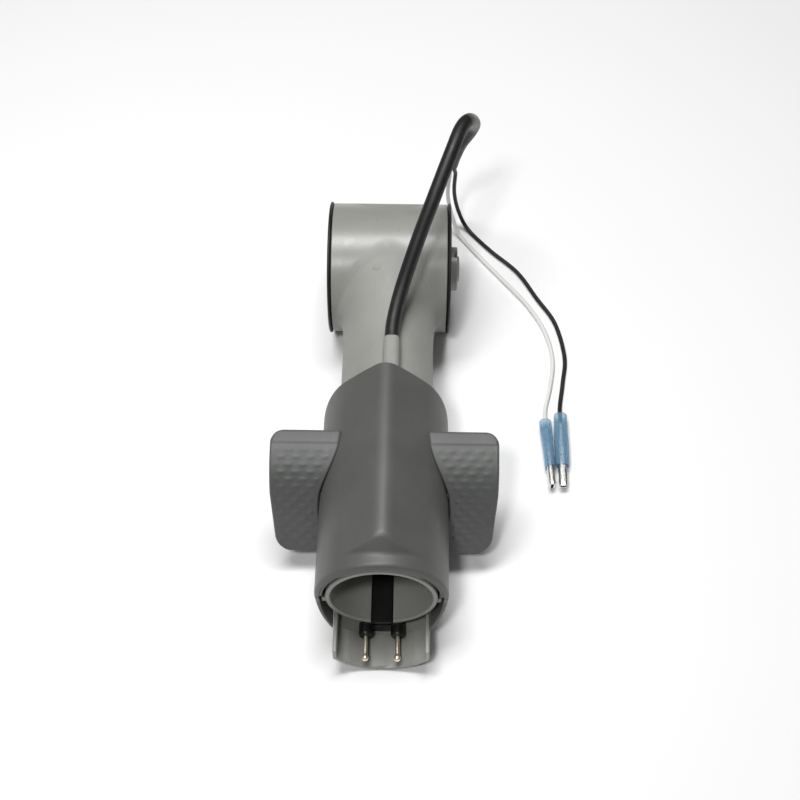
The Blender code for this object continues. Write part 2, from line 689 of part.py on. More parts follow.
def terminal_path(side, stations):
    start, end = (Vector((*p, TERMINAL_Z)) for p in TERMINAL_ENDS[side])
    return [start.lerp(end, s) for s in stations]


def make_terminal_sleeve(name, side):
    """The crimped insulator: a round barrel that flattens into a pocket, lying flat or on its edge."""
    stations = (0.0, 0.28, 0.36, 0.6, 0.72)
    if side > 0:
        sizes = [(2.6, 2.6), (2.7, 2.6), (2.8, 2.4), (2.8, 2.3), (2.6, 2.1)]
    else:
        sizes = [(2.4, 2.5), (2.3, 2.5), (2.1, 3.0), (2.0, 3.1), (1.9, 2.9)]
    bores = [(w - 0.5, t - 0.5) for w, t in sizes]
    path = terminal_path(side, stations)
    return paint(swept(name, path, sizes, 16, bores=bores), "blue_nylon")


def make_terminal_receptacle(name, side):
    """The bare metal: a crimp inside the sleeve and a slotted receptacle that sticks out of it."""
    stations = (0.14, 0.3, 0.42, 0.97, 1.0)
    wide, tall = (1.7, 1.35) if side > 0 else (1.35, 2.2)
    sizes = [(1.3, 1.3), (1.3, 1.3), (wide, tall), (wide, tall), (wide - 0.3, tall - 0.3)]
    made = paint(swept(name, terminal_path(side, stations), sizes, 12), "steel")
    slot = terminal_path(side, (0.6, 1.1))
    mouth = (wide - 0.5, 0.5) if side > 0 else (0.5, tall - 0.6)
    return cut(made, swept(name + "_mouth", slot, [mouth] * 2, 12))


# ---- Release pedal and latch ------------------------------------------------------------------------------


def tread_curve(depth):
    """Points (y, z) of the tread's profile, depth millimetres under its face, from the far edge down."""
    face = smooth_path([(0, y, z) for y, z in TREAD_PROFILE], 2)
    return [(centre.y, centre.z) for centre in offset_path(face, depth)]


def offset_path(face, depth):
    """A path in the YZ plane moved towards the hollow side of its bend."""
    found = []
    for i, here in enumerate(face):
        ahead = face[min(i + 1, len(face) - 1)] - face[max(i - 1, 0)]
        found.append(here + Vector((0, -ahead.z, ahead.y)).normalized() * depth)
    return found


def tread_width(share):
    """The tread's outer edge: full span, drawn in towards the bottom, with both corners rounded."""
    width = TREAD_SPAN - TREAD_TAPER * max(share - 0.5, 0) / 0.5
    if share < 0.1:
        width -= 5.0 * (1 - math.sqrt(1 - (1 - share / 0.1) ** 2))
    if share > 0.87:
        width -= 6.0 * (1 - math.sqrt(max(1 - ((share - 0.87) / 0.13) ** 2, 0)))
    return width


def make_tread(name, side):
    """One foot tread: a curved plate whose inner edge follows the cover."""
    bm = bmesh.new()
    columns = 4
    skins = []
    for depth in (0, TREAD_THICK):
        curve = tread_curve(depth)
        rows = []
        for i, (y, z) in enumerate(curve):
            inner = math.sqrt((COVER_RADIUS + TREAD_GAP) ** 2 - max(z, TREAD_TUCK) ** 2)
            outer = tread_width(i / (len(curve) - 1))
            places = [inner + (outer - inner) * n / columns for n in range(columns + 1)]
            rows.append([bm.verts.new((side * x, y, z)) for x in places])
        skins.append(rows)
    top, under = skins
    for rows in skins:
        for first, second in zip(rows, rows[1:]):
            for n in range(columns):
                bm.faces.new((first[n], first[n + 1], second[n + 1], second[n]))
    for i in range(len(top) - 1):
        for n in (0, -1):
            bm.faces.new((top[i][n], top[i + 1][n], under[i + 1][n], under[i][n]))
    for i in (0, -1):
        for n in range(columns):
            bm.faces.new((top[i][n], top[i][n + 1], under[i][n + 1], under[i][n]))
    return finish(name, bm)


def make_release_pedal():
    """Two foot treads joined through the cover's side slots by a saddle over the neck."""
    outline = arc((0, 0), SADDLE_OUTER, -15, 195, 36) + arc((0, 0), SADDLE_INNER, 195, -15, 36)
    pedal = paint(prism("release_pedal", outline, "Y", *SADDLE), "pedal_grey")
    for side in (-1, 1):
        low, high = sorted((side * 18.6, side * 26.5))
        add(pedal, box(f"pedal_arm_{side}", (low, ARM_FRONT, -ARM_HALF), (high, SADDLE[1], ARM_HALF)))
        rib = [p for p in tread_curve(TREAD_THICK / 2)[3:] if p[1] > -ARM_HALF]
        rib += [(rib[-1][0], -ARM_HALF - 0.4), (SADDLE[1] + 4, -ARM_HALF - 0.4)]
        low, high = sorted((side * 24.2, side * 26.5))
        add(pedal, prism(f"pedal_rib_{side}", rib, "X", low, high))
        add(pedal, make_tread(f"tread_{side}", side))
    ramp = [(-104.4, 20.0), (-111.2, 20.67), (-111.2, 23), (-104.4, 23)]
    cut(pedal, prism("pedal_ramp", ramp, "X", -3.2, 3.2))
    return pedal


def make_latch_pawl():
    """A lever under the roof: its tooth drops into the socket and the pedal's ramp lifts it."""
    top = [(-84.0, 22.0), (-89.5, 22.3), (-94.0, 23.0), (-119.0, 23.0), (-121.0, 21.5), (-136.5, 21.5)]
    tooth = [(-136.5, 19.7), (-136.0, 19.7), (-133.2, 15.8), (-131.7, 15.8), (-131.7, 19.7)]
    under = [(-120.6, 19.7), (-118.6, 21.1), (-104.4, 21.1), (-104.2, 20.1), (-102.6, 20.1), (-102.2, 21.1)]
    boss = [(-93.5, 21.1), (-92.4, 19.4), (-91.0, 18.9), (-89.6, 19.4), (-88.4, 20.4), (-84.0, 20.4)]
    pivot = (0, PIVOT_Y, PIVOT_Z)
    pawl = prism("latch_pawl", top + tooth + under + boss, "X", -PAWL_HALF, PAWL_HALF, origin=pivot)
    paint(pawl, "acetal")
    return cut(pawl, rod("pawl_pivot_hole", PIVOT_HOLE_RADIUS, "X", pivot, -5, 5, 20))


def make_springs():
    paint(coil("pawl_spring", (0, -85.4, 17.8), "Z", 1.0, 0.18, 2.2, 3), "steel")
    angle = math.radians(SPRING_ANGLE)
    for name, side in (("pedal_spring_left", -1), ("pedal_spring_right", 1)):
        out = side * SPRING_CENTRE_RADIUS * math.cos(angle)
        place = (out, -104.5, SPRING_CENTRE_RADIUS * math.sin(angle))
        paint(coil(name, place, "Y", 1.05, 0.22, 12.0, 7), "steel")


# ---- Fasteners --------------------------------------------------------------------------------------------


def screw_profile(shank, head, tip_z, seat_z, head_z):
    head_side = [(0, head_z), (head, head_z + 0.3), (head, seat_z)]
    return head_side + [(shank, seat_z), (shank, tip_z), (0, tip_z + 0.3)]


def make_screws():
    for name, y in zip(("cover_screw_front", "cover_screw_rear"), COVER_SCREW_YS):
        profile = screw_profile(0.8, 2.4, -17.4, -23.2, -24.6)
        paint(turned(name, profile, "Z", (0, y, 0), 18), "steel")
    for name, side in (("housing_screw_left", -1), ("housing_screw_right", 1)):
        profile = screw_profile(0.7, 1.9, -18.0, -25.3, -26.5)
        place = (side * HOUSING_SCREW_X, HOUSING_SCREW_Y, 0)
        paint(turned(name, profile, "Z", place, 18), "steel")


clear_scene()
ASSEMBLY = make_assembly()
PAINT = {name: make_material(name, *values) for name, values in MATERIALS.items()}

make_neck_tube()
make_covers()
make_plug_housing()
make_plug_body()
make_socket_seal()
for NAME, SIDE in (("left", -1), ("right", 1)):
    make_end_cap(f"end_cap_{NAME}", SIDE)
    make_end_seal(f"end_seal_{NAME}", SIDE)
    make_contact_pin(f"contact_pin_{NAME}", SIDE)
make_cord_sleeve()
make_cord_grommet()
for NAME, SIDE, COLOUR in (("black", 1, "rubber_black"), ("white", -1, "white_insulation")):
    make_wire(f"wire_{NAME}", SIDE, COLOUR)
    make_terminal_sleeve(f"terminal_sleeve_{NAME}", SIDE)
    make_terminal_receptacle(f"terminal_receptacle_{NAME}", SIDE)
make_release_pedal()
make_latch_pawl()
paint(rod("pawl_pivot_pin", PIVOT_PIN_RADIUS, "X", (0, PIVOT_Y, PIVOT_Z), -4.5, 4.5, 20), "steel")
make_springs()
make_screws()
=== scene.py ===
"""Looks of the pivot neck of a powered vacuum nozzle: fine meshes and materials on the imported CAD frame.

The functions work in millimetres from the middle of the pivot drum, as the CAD source does, and
piece() turns them into metres in the row frame.
"""

from math import acos, asin, atan2, copysign, cos, degrees, dist, hypot, pi, radians, sin, sqrt, tau

import bmesh
import bpy
from mathutils import Matrix, Vector


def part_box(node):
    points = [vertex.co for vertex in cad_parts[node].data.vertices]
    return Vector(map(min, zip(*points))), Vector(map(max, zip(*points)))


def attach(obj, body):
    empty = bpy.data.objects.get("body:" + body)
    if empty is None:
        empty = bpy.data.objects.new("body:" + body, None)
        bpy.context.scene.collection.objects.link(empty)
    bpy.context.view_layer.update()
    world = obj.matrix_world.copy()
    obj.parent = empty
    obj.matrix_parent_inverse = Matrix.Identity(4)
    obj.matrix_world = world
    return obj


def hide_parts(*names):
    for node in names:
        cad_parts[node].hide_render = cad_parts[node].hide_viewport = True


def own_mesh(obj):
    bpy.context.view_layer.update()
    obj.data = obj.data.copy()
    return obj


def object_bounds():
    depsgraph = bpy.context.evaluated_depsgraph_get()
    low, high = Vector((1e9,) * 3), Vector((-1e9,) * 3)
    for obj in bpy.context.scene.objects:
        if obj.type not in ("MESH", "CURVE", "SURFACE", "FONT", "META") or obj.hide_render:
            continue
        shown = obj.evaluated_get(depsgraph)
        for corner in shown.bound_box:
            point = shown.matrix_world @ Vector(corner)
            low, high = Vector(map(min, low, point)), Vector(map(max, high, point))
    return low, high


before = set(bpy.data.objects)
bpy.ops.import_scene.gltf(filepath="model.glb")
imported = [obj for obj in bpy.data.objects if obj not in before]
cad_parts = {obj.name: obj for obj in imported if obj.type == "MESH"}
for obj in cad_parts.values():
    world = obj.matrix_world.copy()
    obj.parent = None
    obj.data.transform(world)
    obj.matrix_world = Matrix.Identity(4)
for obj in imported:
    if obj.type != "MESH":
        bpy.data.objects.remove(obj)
CAD_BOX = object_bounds()

MM = 0.001
DRUM_MIDDLE = (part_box("end_seal_left")[0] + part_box("end_seal_right")[1]) / 2


def span(node):
    """The lowest and highest corner of a CAD node, in millimetres from the drum's middle."""
    low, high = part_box(node)
    return (low - DRUM_MIDDLE) / MM, (high - DRUM_MIDDLE) / MM


NECK_LOW, NECK_HIGH = span("neck_tube")
SEAL_LOW, SEAL_HIGH = span("end_seal_right")
CAP_LOW, CAP_HIGH = span("end_cap_right")
COVER_LOW, COVER_HIGH = span("upper_cover")
HOUSING_LOW, HOUSING_HIGH = span("plug_housing")
PLUG_LOW, PLUG_HIGH = span("plug_body")
PEDAL_LOW, PEDAL_HIGH = span("release_pedal")
GROMMET_LOW, GROMMET_HIGH = span("cord_grommet")
SOCKET_SEAL_LOW, SOCKET_SEAL_HIGH = span("socket_seal")
PIVOT_LOW, PIVOT_HIGH = span("pawl_pivot_pin")

# Drum, neck and wand socket
DRUM_RADIUS, DRUM_HALF = NECK_HIGH.z, NECK_HIGH.x
DRUM_WALL = 2.0
PORT_ANGLES = (-62, 28)
PORT_HALF_WIDTH = 17.0
MOUTH = NECK_LOW.y
NECK_RADIUS, NECK_BORE = 17.3, 15.3
JUNCTION_OUT, JUNCTION_ALONG = (3.9, 6.2), 18.0
SOCKET_RADIUS, SOCKET_BORE = 19.2, 17.6
SOCKET_START, SOCKET_STOP = -120.0, -122.0
PLUG_SLOT_HALF, PLUG_SLOT_START = 3.9, -124.2
CONDUIT_X, CONDUIT_HALF = 1.7, 3.0
CONDUIT_FRONT, CONDUIT_REAR = -72.0, -52.0
CONDUIT_TOP, CHANNEL_FLOOR, CHANNEL_TOP = 23.5, 17.6, 22.6

# Cover
COVER_RADIUS = COVER_HIGH.x
COVER_WALL = 1.8
COVER_FRONT, COVER_REAR = COVER_LOW.y, COVER_HIGH.y
ROOF_SLOPE = radians(39)
RIDGE_ROUND, RIDGE_TOP = 6.0, 27.9
RIDGE_END = -137.0
HIP_FOOT, HIP_BOW, HIP_SLOPE, HIP_FILLET = -143.1, 6.5, 1.0, 0.9
REAR_CURVE, REAR_WALL, REAR_WALL_RADIUS = 0.0118, 2.0, 17.7
FRONT_LEAN, FRONT_LEAN_START = 0.42, -3.0
FLANGE_REAR, FLANGE_RADII, FLANGE_TURN = -143.5, (19.3, 20.2), 42.0
SPLIT_ANGLE = COVER_LOW.z / COVER_RADIUS
PEDAL_SLOT, PEDAL_SLOT_HALF = (-110.4, -97.6), 6.3

# Plug housing
HOUSING_HALF = HOUSING_HIGH.x
HOUSING_BOTTOM_RADIUS, HOUSING_CENTRE_Z = 20.5, -6.5
HOUSING_WALL = 1.5
PIN_X, PIN_Z = 5.6, -21.3
PLUG_HALF = 7.4

# Release pedal and latch
SADDLE = (-117.0, -105.0)
SADDLE_INNER, SADDLE_OUTER = 17.7, 20.7
TREAD_SPAN = PEDAL_HIGH.x
ARM_FRONT, ARM_HALF = -110.0, 5.0
TREAD_THICK, TREAD_GAP, TREAD_TUCK = 3.0, 0.4, -7.0
TREAD_PROFILE = (
    (-90.5, 17.8), (-96.0, 17.2), (-101.0, 15.6), (-105.2, 13.0),
    (-108.9, 8.9), (-112.0, 3.0), (-116.2, -6.5), (-121.0, -17.0),
)
STUD_HEIGHT, STUD_PITCH, STUD_ROW = 0.30, 5.2, 2.7
PIVOT_Y, PIVOT_Z = (PIVOT_LOW.y + PIVOT_HIGH.y) / 2, (PIVOT_LOW.z + PIVOT_HIGH.z) / 2
SPRING_STOP = (-92.0, -90.0)

# Wiring
WIRE_RADIUS, WIRE_OFFSET = 0.85, 0.98
SLEEVE_RADIUS, SLEEVE_BORE = 2.7, 2.1
TABLE_WIRE_Z = -25.9
TERMINAL_Z = -23.6
TERMINAL_ENDS = {1: ((68.0, -55.0), (67.6, -87.6)), -1: ((61.9, -58.0), (63.3, -87.6))}

COVER_SCREW_YS = (-101.0, -82.0)
HOUSING_SCREW_X, HOUSING_SCREW_Y = 10.0, -130.0
ROUND = 160
SHARP = radians(34)


# ---- Materials ----


class Nodes:
    """The node tree of a material or a world, with short calls for the nodes that the looks are made of."""

    def __init__(self, owner):
        owner.use_nodes = True
        self.tree = owner.node_tree
        self.places = self.add("TexCoord").outputs

    def put(self, node, key, value):
        """Give an input of a node a value, or a link where the value is an output of another node."""
        if isinstance(value, bpy.types.NodeSocket):
            self.tree.links.new(value, node.inputs[key])
        else:
            node.inputs[key].default_value = value

    def add(self, kind, inputs=None, **settings):
        made = self.tree.nodes.new("ShaderNode" + kind)
        for key, value in settings.items():
            setattr(made, key, value)
        for key, value in (inputs or {}).items():
            self.put(made, key, value)
        return made

    def set(self, key, value):
        self.put(self.tree.nodes["Principled BSDF"], key, value)

    def now(self, key):
        """The output that an input of the shader is linked to."""
        return self.tree.nodes["Principled BSDF"].inputs[key].links[0].from_socket

    def math(self, operation, *values):
        return self.add("Math", dict(enumerate(values)), operation=operation).outputs[0]

    def vector(self, operation, *values, output="Vector"):
        return self.add("VectorMath", dict(enumerate(values)), operation=operation).outputs[output]

    def noise(self, scale, detail=3.0, stretch=(1, 1, 1)):
        """Fractal noise with features of 1 / scale millimetres, longer where the stretch is small."""
        scales = tuple(s / MM for s in stretch)
        mapped = self.add("Mapping", {"Vector": self.places["Object"], "Scale": scales}).outputs[0]
        return self.add("TexNoise", {"Vector": mapped, "Scale": scale, "Detail": detail}).outputs[0]

    def ramp(self, value, low, high, out_low=0.0, out_high=1.0):
        limits = {"Value": value, "From Min": low, "From Max": high, "To Min": out_low, "To Max": out_high}
        return self.add("MapRange", limits).outputs[0]

    def mix(self, share, first, second, mode="MIX"):
        inputs = {0: share, 6: first, 7: second}
        return self.add("Mix", inputs, data_type="RGBA", blend_type=mode).outputs[2]

    def grey(self, value):
        return self.add("CombineColor", {0: value, 1: value, 2: value}).outputs[0]

    def edges(self, radius):
        """White along the outer edges of a piece, and the normal with those edges rounded."""
        rounded_normal = self.add("Bevel", {"Radius": radius * MM}, samples=4).outputs[0]
        flat = self.add("NewGeometry").outputs["Normal"]
        agree = self.vector("DOT_PRODUCT", rounded_normal, flat, output="Value")
        return self.ramp(agree, 0.995, 0.8), rounded_normal

    def bump(self, height, depth, normal, strength=1.0):
        inputs = {"Height": height, "Distance": depth * MM, "Strength": strength, "Normal": normal}
        return self.add("Bump", inputs).outputs[0]


MATERIALS = {}


def new_look(name):
    MATERIALS[name] = bpy.data.materials.new(name)
    return Nodes(MATERIALS[name])


def shade(colour, factor, lift=0.0):
    return (*(min(c * factor + lift, 1.0) for c in colour), 1.0)


def moulded(name, colour, roughness, grain=0.25, depth=0.012, cloud=0.07, wear=0.25, edge=0.3):
    """Moulded plastic: clouded colour, spark-eroded grain, rub marks, painted shade in hollows and paler
    edges.
    """
    look = new_look(name)
    clouds = look.ramp(look.noise(0.045, 4.0), 0.35, 0.65)
    base = look.mix(clouds, shade(colour, 1 - cloud), shade(colour, 1 + cloud))
    speck = look.ramp(look.noise(1.6, 2.0), 0.3, 0.7, 0.97, 1.03)
    base = look.mix(1.0, base, look.grey(speck), "MULTIPLY")
    edges, soft_normal = look.edges(edge)
    base = look.mix(look.math("MULTIPLY", edges, wear), base, shade(colour, 1.35, 0.02))
    # Painted shade: ambient occlusion darkens the colour in hollows, creases and between parts.
    hollow = look.add("AmbientOcclusion", {"Distance": 0.004}, samples=4).outputs["AO"]
    painted_shade = look.mix(look.ramp(hollow, 0.0, 0.75), shade((1, 1, 1), 0.62), shade((1, 1, 1), 1.0))
    look.set("Base Color", look.mix(1.0, base, painted_shade, "MULTIPLY"))
    marks = look.ramp(look.noise(0.35, 5.0, (1.0, 0.22, 1.0)), 0.56, 0.72)
    look.set("Roughness", look.math("MULTIPLY_ADD", marks, -0.09, roughness))
    sink = look.bump(look.noise(0.09, 1.0), 0.12, soft_normal, 0.5)
    look.set("Normal", look.bump(look.noise(1 / grain), depth, sink))
    look.set("IOR", 1.48)
    return look


def rubber(name, colour, roughness):
    """Black rubber or soft plastic with a bloom of dust."""
    look = moulded(name, colour, roughness, grain=0.12, depth=0.02, cloud=0.25, wear=0.15, edge=0.15)
    dust = look.ramp(look.noise(0.5, 6.0), 0.5, 0.8, 0.0, 0.06)
    look.set("Base Color", look.mix(dust, look.now("Base Color"), (0.16, 0.155, 0.15, 1.0)))
    return look


def polished_drum(name, colour, roughness, matt):
    """Moulded plastic that is matt near the neck's axis and polished on the drum, which turns in its seat."""
    look = moulded(name, colour, roughness)
    apart = look.vector("SUBTRACT", look.places["Object"], tuple(DRUM_MIDDLE))
    far = look.vector("LENGTH", look.vector("MULTIPLY", apart, (1, 0, 1)), output="Value")
    extra = look.ramp(far, 23.8 * MM, 25.0 * MM, matt - roughness, 0.0)
    look.set("Roughness", look.math("ADD", look.now("Roughness"), extra))


def rubber_painted_highlight(name, colour, roughness, bend, reach):
    """Rubber with a painted highlight, pale and mottled, round a place in millimetres on the top of the
    cord's bend.
    """
    look = rubber(name, colour, roughness)
    middle = tuple(DRUM_MIDDLE + Vector(bend) * MM)
    away = look.vector("DISTANCE", look.places["Object"], middle, output="Value")
    near = look.ramp(away, reach[1] * MM, reach[0] * MM)
    mottled = look.ramp(look.noise(0.5), 0.3, 0.7, 0.6, 1.0)
    share = look.math("MULTIPLY", near, mottled)
    # Painted highlight: the colour turns pale grey near the given place.
    look.set("Base Color", look.mix(share, look.now("Base Color"), (0.36, 0.36, 0.345, 1.0)))


def metal(name, colour, roughness, stretch, tarnish):
    """Bare metal with fine drawn scratches and blotches of tarnish."""
    look = new_look(name)
    look.set("Metallic", 1.0)
    lines = look.noise(3.0, 4.0, stretch)
    blotch = look.ramp(look.noise(0.6, 5.0), 0.5, 0.8, 0.0, 0.35)
    dull = (*(c * t for c, t in zip(colour, tarnish)), 1.0)
    look.set("Base Color", look.mix(blotch, (*colour, 1.0), dull))
    look.set("Roughness", look.ramp(lines, 0.3, 0.7, roughness - 0.08, roughness + 0.12))
    look.set("Normal", look.bump(lines, 0.01, look.edges(0.15)[1]))


def nylon(name, colour):
    """Clear coloured nylon, which lets more light through where it is seen face on."""
    look = moulded(name, colour, 0.22, grain=0.6, depth=0.02, cloud=0.1, wear=0.3, edge=0.2)
    facing = look.add("LayerWeight", {"Blend": 0.35}).outputs["Facing"]
    look.set("Alpha", look.ramp(facing, 0.0, 0.8, 0.22, 0.85))


BLACK = (0.008, 0.008, 0.008)
moulded("light_grey", (0.300, 0.300, 0.280), 0.32)
polished_drum("neck_grey", (0.295, 0.295, 0.275), 0.32, 0.55)
moulded("dark_grey", (0.100, 0.100, 0.095), 0.44, grain=0.3, depth=0.02)
moulded("pedal_grey", (0.096, 0.100, 0.096), 0.50, grain=0.3, depth=0.03)
rubber("rubber_black", BLACK, 0.50)
# The cord sleeve's rubber, with a painted highlight on the top of its bend.
rubber_painted_highlight("rubber_painted_highlight", BLACK, 0.50, (32.5, 24.0, 58.0), (2.5, 8.0))
moulded("black_plastic", BLACK, 0.42, wear=0.1)
moulded("white_insulation", (0.78, 0.78, 0.75), 0.38, cloud=0.03, edge=0.1)
nylon("blue_nylon", (0.22, 0.46, 0.68))
moulded("acetal", (0.70, 0.70, 0.67), 0.35, cloud=0.03)
metal("brass", (0.93, 0.84, 0.66), 0.38, (1, 0.1, 1), (0.8, 0.7, 0.5))
metal("steel", (0.66, 0.66, 0.65), 0.28, (1, 0.15, 1), (0.6, 0.58, 0.55))


# ---- Mesh helpers ----


def on_axis(axis, a, b, along):
    """A point from its two places across an axis and its place along it."""
    return {"X": (along, a, b), "Y": (a, along, b), "Z": (a, b, along)}[axis]


def clamped(value, low=0.0):
    return min(1.0, max(low, value))


def full_turn(steps=ROUND):
    """Angles in radians all round a circle."""
    return [tau * i / steps for i in range(steps)]


def arc(centre, radius, start, end, count):
    """Points on a circle, from one angle in degrees to another, both included."""
    angles = [radians(start + (end - start) * i / count) for i in range(count + 1)]
    return [(centre[0] + radius * cos(a), centre[1] + radius * sin(a)) for a in angles]


def softened(points, radius, steps=4, keep_axis=True):
    """A closed outline with each corner rounded. Corners on the axis of a turned profile stay."""
    found = []
    for i, point in enumerate(points):
        here = Vector(point)
        before = Vector(points[i - 1]) - here
        after = Vector(points[(i + 1) % len(points)]) - here
        straight = before.length < 1e-6 or after.length < 1e-6 or before.angle(after) > radians(158)
        if straight or (keep_axis and abs(here.x) < 1e-6):
            found.append(tuple(here))
            continue
        reach = min(radius, 0.45 * before.length, 0.45 * after.length)
        first, last = here + before.normalized() * reach, here + after.normalized() * reach
        for n in range(steps + 1):
            t = n / steps
            found.append(tuple(first * (1 - t) ** 2 + here * 2 * t * (1 - t) + last * t**2))
    return found


def row_of(bm, points):
    return [bm.verts.new(p) for p in points]


def skin(bm, rows, around=True, along=False):
    """Quads between neighbouring rows of vertices, closed round each row or from last to first."""
    for i in range(len(rows) if along else len(rows) - 1):
        first, second = rows[i], rows[(i + 1) % len(rows)]
        for j in range(len(first) if around else len(first) - 1):
            k = (j + 1) % len(first)
            bm.faces.new((first[j], first[k], second[k], second[j]))


def tidied(bm):
    bmesh.ops.remove_doubles(bm, verts=bm.verts, dist=1e-4)
    bmesh.ops.dissolve_degenerate(bm, edges=bm.edges, dist=1e-5)
    bmesh.ops.recalc_face_normals(bm, faces=bm.faces)
    return bm


def lathe(profile, axis, centre=(0, 0, 0), steps=ROUND):
    """A closed profile of (radius, place along) points turned about an axis through centre."""
    bm = bmesh.new()
    rows = []
    for radius, along in profile:
        ring = [on_axis(axis, radius * cos(a), radius * sin(a), along) for a in full_turn(steps)]
        rows.append(row_of(bm, [Vector(p) + Vector(centre) for p in ring]))
    for i, first in enumerate(rows):
        if profile[i][0] > 0 or profile[(i + 1) % len(rows)][0] > 0:
            skin(bm, [first, rows[(i + 1) % len(rows)]])
    return tidied(bm)


def loft(rings):
    """A solid through closed rings of points, with flat ends."""
    bm = bmesh.new()
    rows = [row_of(bm, ring) for ring in rings]
    skin(bm, rows)
    bm.faces.new(rows[0])
    bm.faces.new(rows[-1])
    return tidied(bm)


def tube(rings):
    """A solid whose rings run out along one skin and back along the other, so that it closes on itself."""
    bm = bmesh.new()
    skin(bm, [row_of(bm, ring) for ring in rings], along=True)
    return tidied(bm)


def rounded(bm, edges, radius, **settings):
    bmesh.ops.bevel(bm, geom=edges, offset=radius, segments=3, profile=0.5, affect="EDGES", **settings)


def prism(outline, axis, start, end, bevel=0.3):
    """A closed outline extruded along an axis, with rounded rims."""
    bm = bmesh.new()
    rows = [row_of(bm, [on_axis(axis, a, b, t) for a, b in outline]) for t in (start, end)]
    skin(bm, rows)
    ends = [bm.faces.new(rows[0]), bm.faces.new(rows[1])]
    rims = [edge for face in ends for edge in face.edges]
    if bevel:
        rounded(bm, rims, bevel, clamp_overlap=True)
    return tidied(bm)


def block(low, high, bevel=0.4):
    """A box with all its edges rounded."""
    bm = bmesh.new()
    size = Vector(high) - Vector(low)
    bmesh.ops.create_cube(bm, size=1.0)
    bmesh.ops.scale(bm, vec=size, verts=bm.verts)
    bmesh.ops.translate(bm, vec=(Vector(high) + Vector(low)) / 2, verts=bm.verts)
    rounded(bm, bm.edges[:], min(bevel, 0.45 * min(size)))
    return tidied(bm)


def sided_block(side, low, high, bevel=0.4):
    """A rounded box given for the right side (1), or its mirror image on the left (-1)."""
    near, far = sorted((side * low[0], side * high[0]))
    return block((near, *low[1:]), (far, *high[1:]), bevel)


def rod(radius, axis, centre, start, end, steps=64, bevel=0.15):
    profile = softened([(0, start), (radius, start), (radius, end), (0, end)], bevel)
    return lathe(profile, axis, centre, steps)


def frames_along(centres, up=(0, 0, 1)):
    """The point, normal and binormal at each place of a path, turning no more than the path itself does."""
    found = []
    normal = Vector(up)
    for i, centre in enumerate(centres):
        ahead = centres[min(i + 1, len(centres) - 1)]
        behind = centres[max(i - 1, 0)]
        tangent = (Vector(ahead) - Vector(behind)).normalized()
        normal = (normal - tangent * normal.dot(tangent)).normalized()
        found.append((Vector(centre), normal.copy(), tangent.cross(normal)))
    return found


def ring_at(frame_here, wide, tall, sides, power=1.0):
    """Points round one frame of a path. A power below 1 makes the section boxier."""
    centre, normal, binormal = frame_here
    found = []
    for angle in full_turn(sides):
        across, up = (copysign(abs(v) ** power, v) for v in (cos(angle), sin(angle)))
        found.append(centre + binormal * wide * across + normal * tall * up)
    return found


def smooth_path(points, steps):
    """A Catmull-Rom curve through the points."""
    padded = [points[0], *points, points[-1]]
    found = []
    for a, b, c, d in zip(padded, padded[1:], padded[2:], padded[3:]):
        a, b, c, d = Vector(a), Vector(b), Vector(c), Vector(d)
        for i in range(steps):
            t = i / steps
            bend = (2 * a - 5 * b + 4 * c - d) * t**2 + (3 * b - a - 3 * c + d) * t**3
            found.append(0.5 * (2 * b + (c - a) * t + bend))
    found.append(Vector(points[-1]))
    return found


def placed(name, data):
    """A new object in the scene."""
    made = bpy.data.objects.new(name, data)
    bpy.context.scene.collection.objects.link(made)
    return made


def meshed(name, bm):
    """A new mesh object in the scene, made from a bmesh that is used up."""
    mesh = bpy.data.meshes.new(name)
    bm.to_mesh(mesh)
    bm.free()
    return placed(name, mesh)


def carved(bm, cutters):
    """The solid with the cutters taken out of it."""
    target, *helpers = [meshed("temporary", solid) for solid in (bm, *cutters)]
    for helper in helpers:
        modifier = target.modifiers.new("cut", "BOOLEAN")
        modifier.operation = "DIFFERENCE"
        modifier.solver = "EXACT"
        modifier.object = helper
    graph = bpy.context.evaluated_depsgraph_get()
    result = bmesh.new()
    result.from_mesh(target.evaluated_get(graph).to_mesh())
    for helper in (target, *helpers):
        bpy.data.objects.remove(helper, do_unlink=True)
    return result


def piece(name, node, solids, slot, body="neck", look=None):
    """One visible object made of closed solids, in the material that its slot or its look names, which stands
    for a CAD node.
    """
    whole = bmesh.new()
    for bm in solids:
        solid = meshed("solid", bm)
        whole.from_mesh(solid.data)
        bpy.data.objects.remove(solid, do_unlink=True)
    bmesh.ops.scale(whole, vec=(MM, MM, MM), verts=whole.verts)
    bmesh.ops.translate(whole, vec=DRUM_MIDDLE, verts=whole.verts)
    made = meshed(name, whole)
    made.data.shade_smooth()
    made.data.set_sharp_from_angle(angle=SHARP)
    made.data.materials.append(MATERIALS[look or slot])
    made.modifiers.new("weighted_normals", "WEIGHTED_NORMAL").keep_sharp = True
    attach(made, body)
    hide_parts(node)
    return made


# ---- Drum, neck and wand socket ----


def rounded_rectangle(half, low, high, radius, steps):
    """A rectangle with round corners, from -half to half one way and from low to high the other."""
    corners = ((half, high, 0), (-half, high, 90), (-half, low, 180), (half, low, 270))
    found = []
    for x, y, start in corners:
        centre = (x - copysign(radius, x), y - copysign(radius, y - (low + high) / 2))
        found += arc(centre, radius, start, start + 90, steps)
    return found


def port_cutter():
    """The drum's air port: a rounded rectangle on its unrolled skin, pushed in towards its axis."""
    start, end = (radians(a) * DRUM_RADIUS for a in PORT_ANGLES)
    outline = rounded_rectangle(PORT_HALF_WIDTH, start, end, 4.0, 10)
    dense = []
    for (x0, a0), (x1, a1) in zip(outline, outline[1:] + outline[:1]):
        count = max(1, int(abs(a1 - a0) / 1.0))
        dense += [(x0 + (x1 - x0) * n / count, a0 + (a1 - a0) * n / count) for n in range(count)]
    rings = []
    for radius in (12.0, 20.0, 30.0):
        angles = [(x, a / DRUM_RADIUS) for x, a in dense]
        rings.append([(x, radius * cos(a), radius * sin(a)) for x, a in angles])
    return loft(rings)


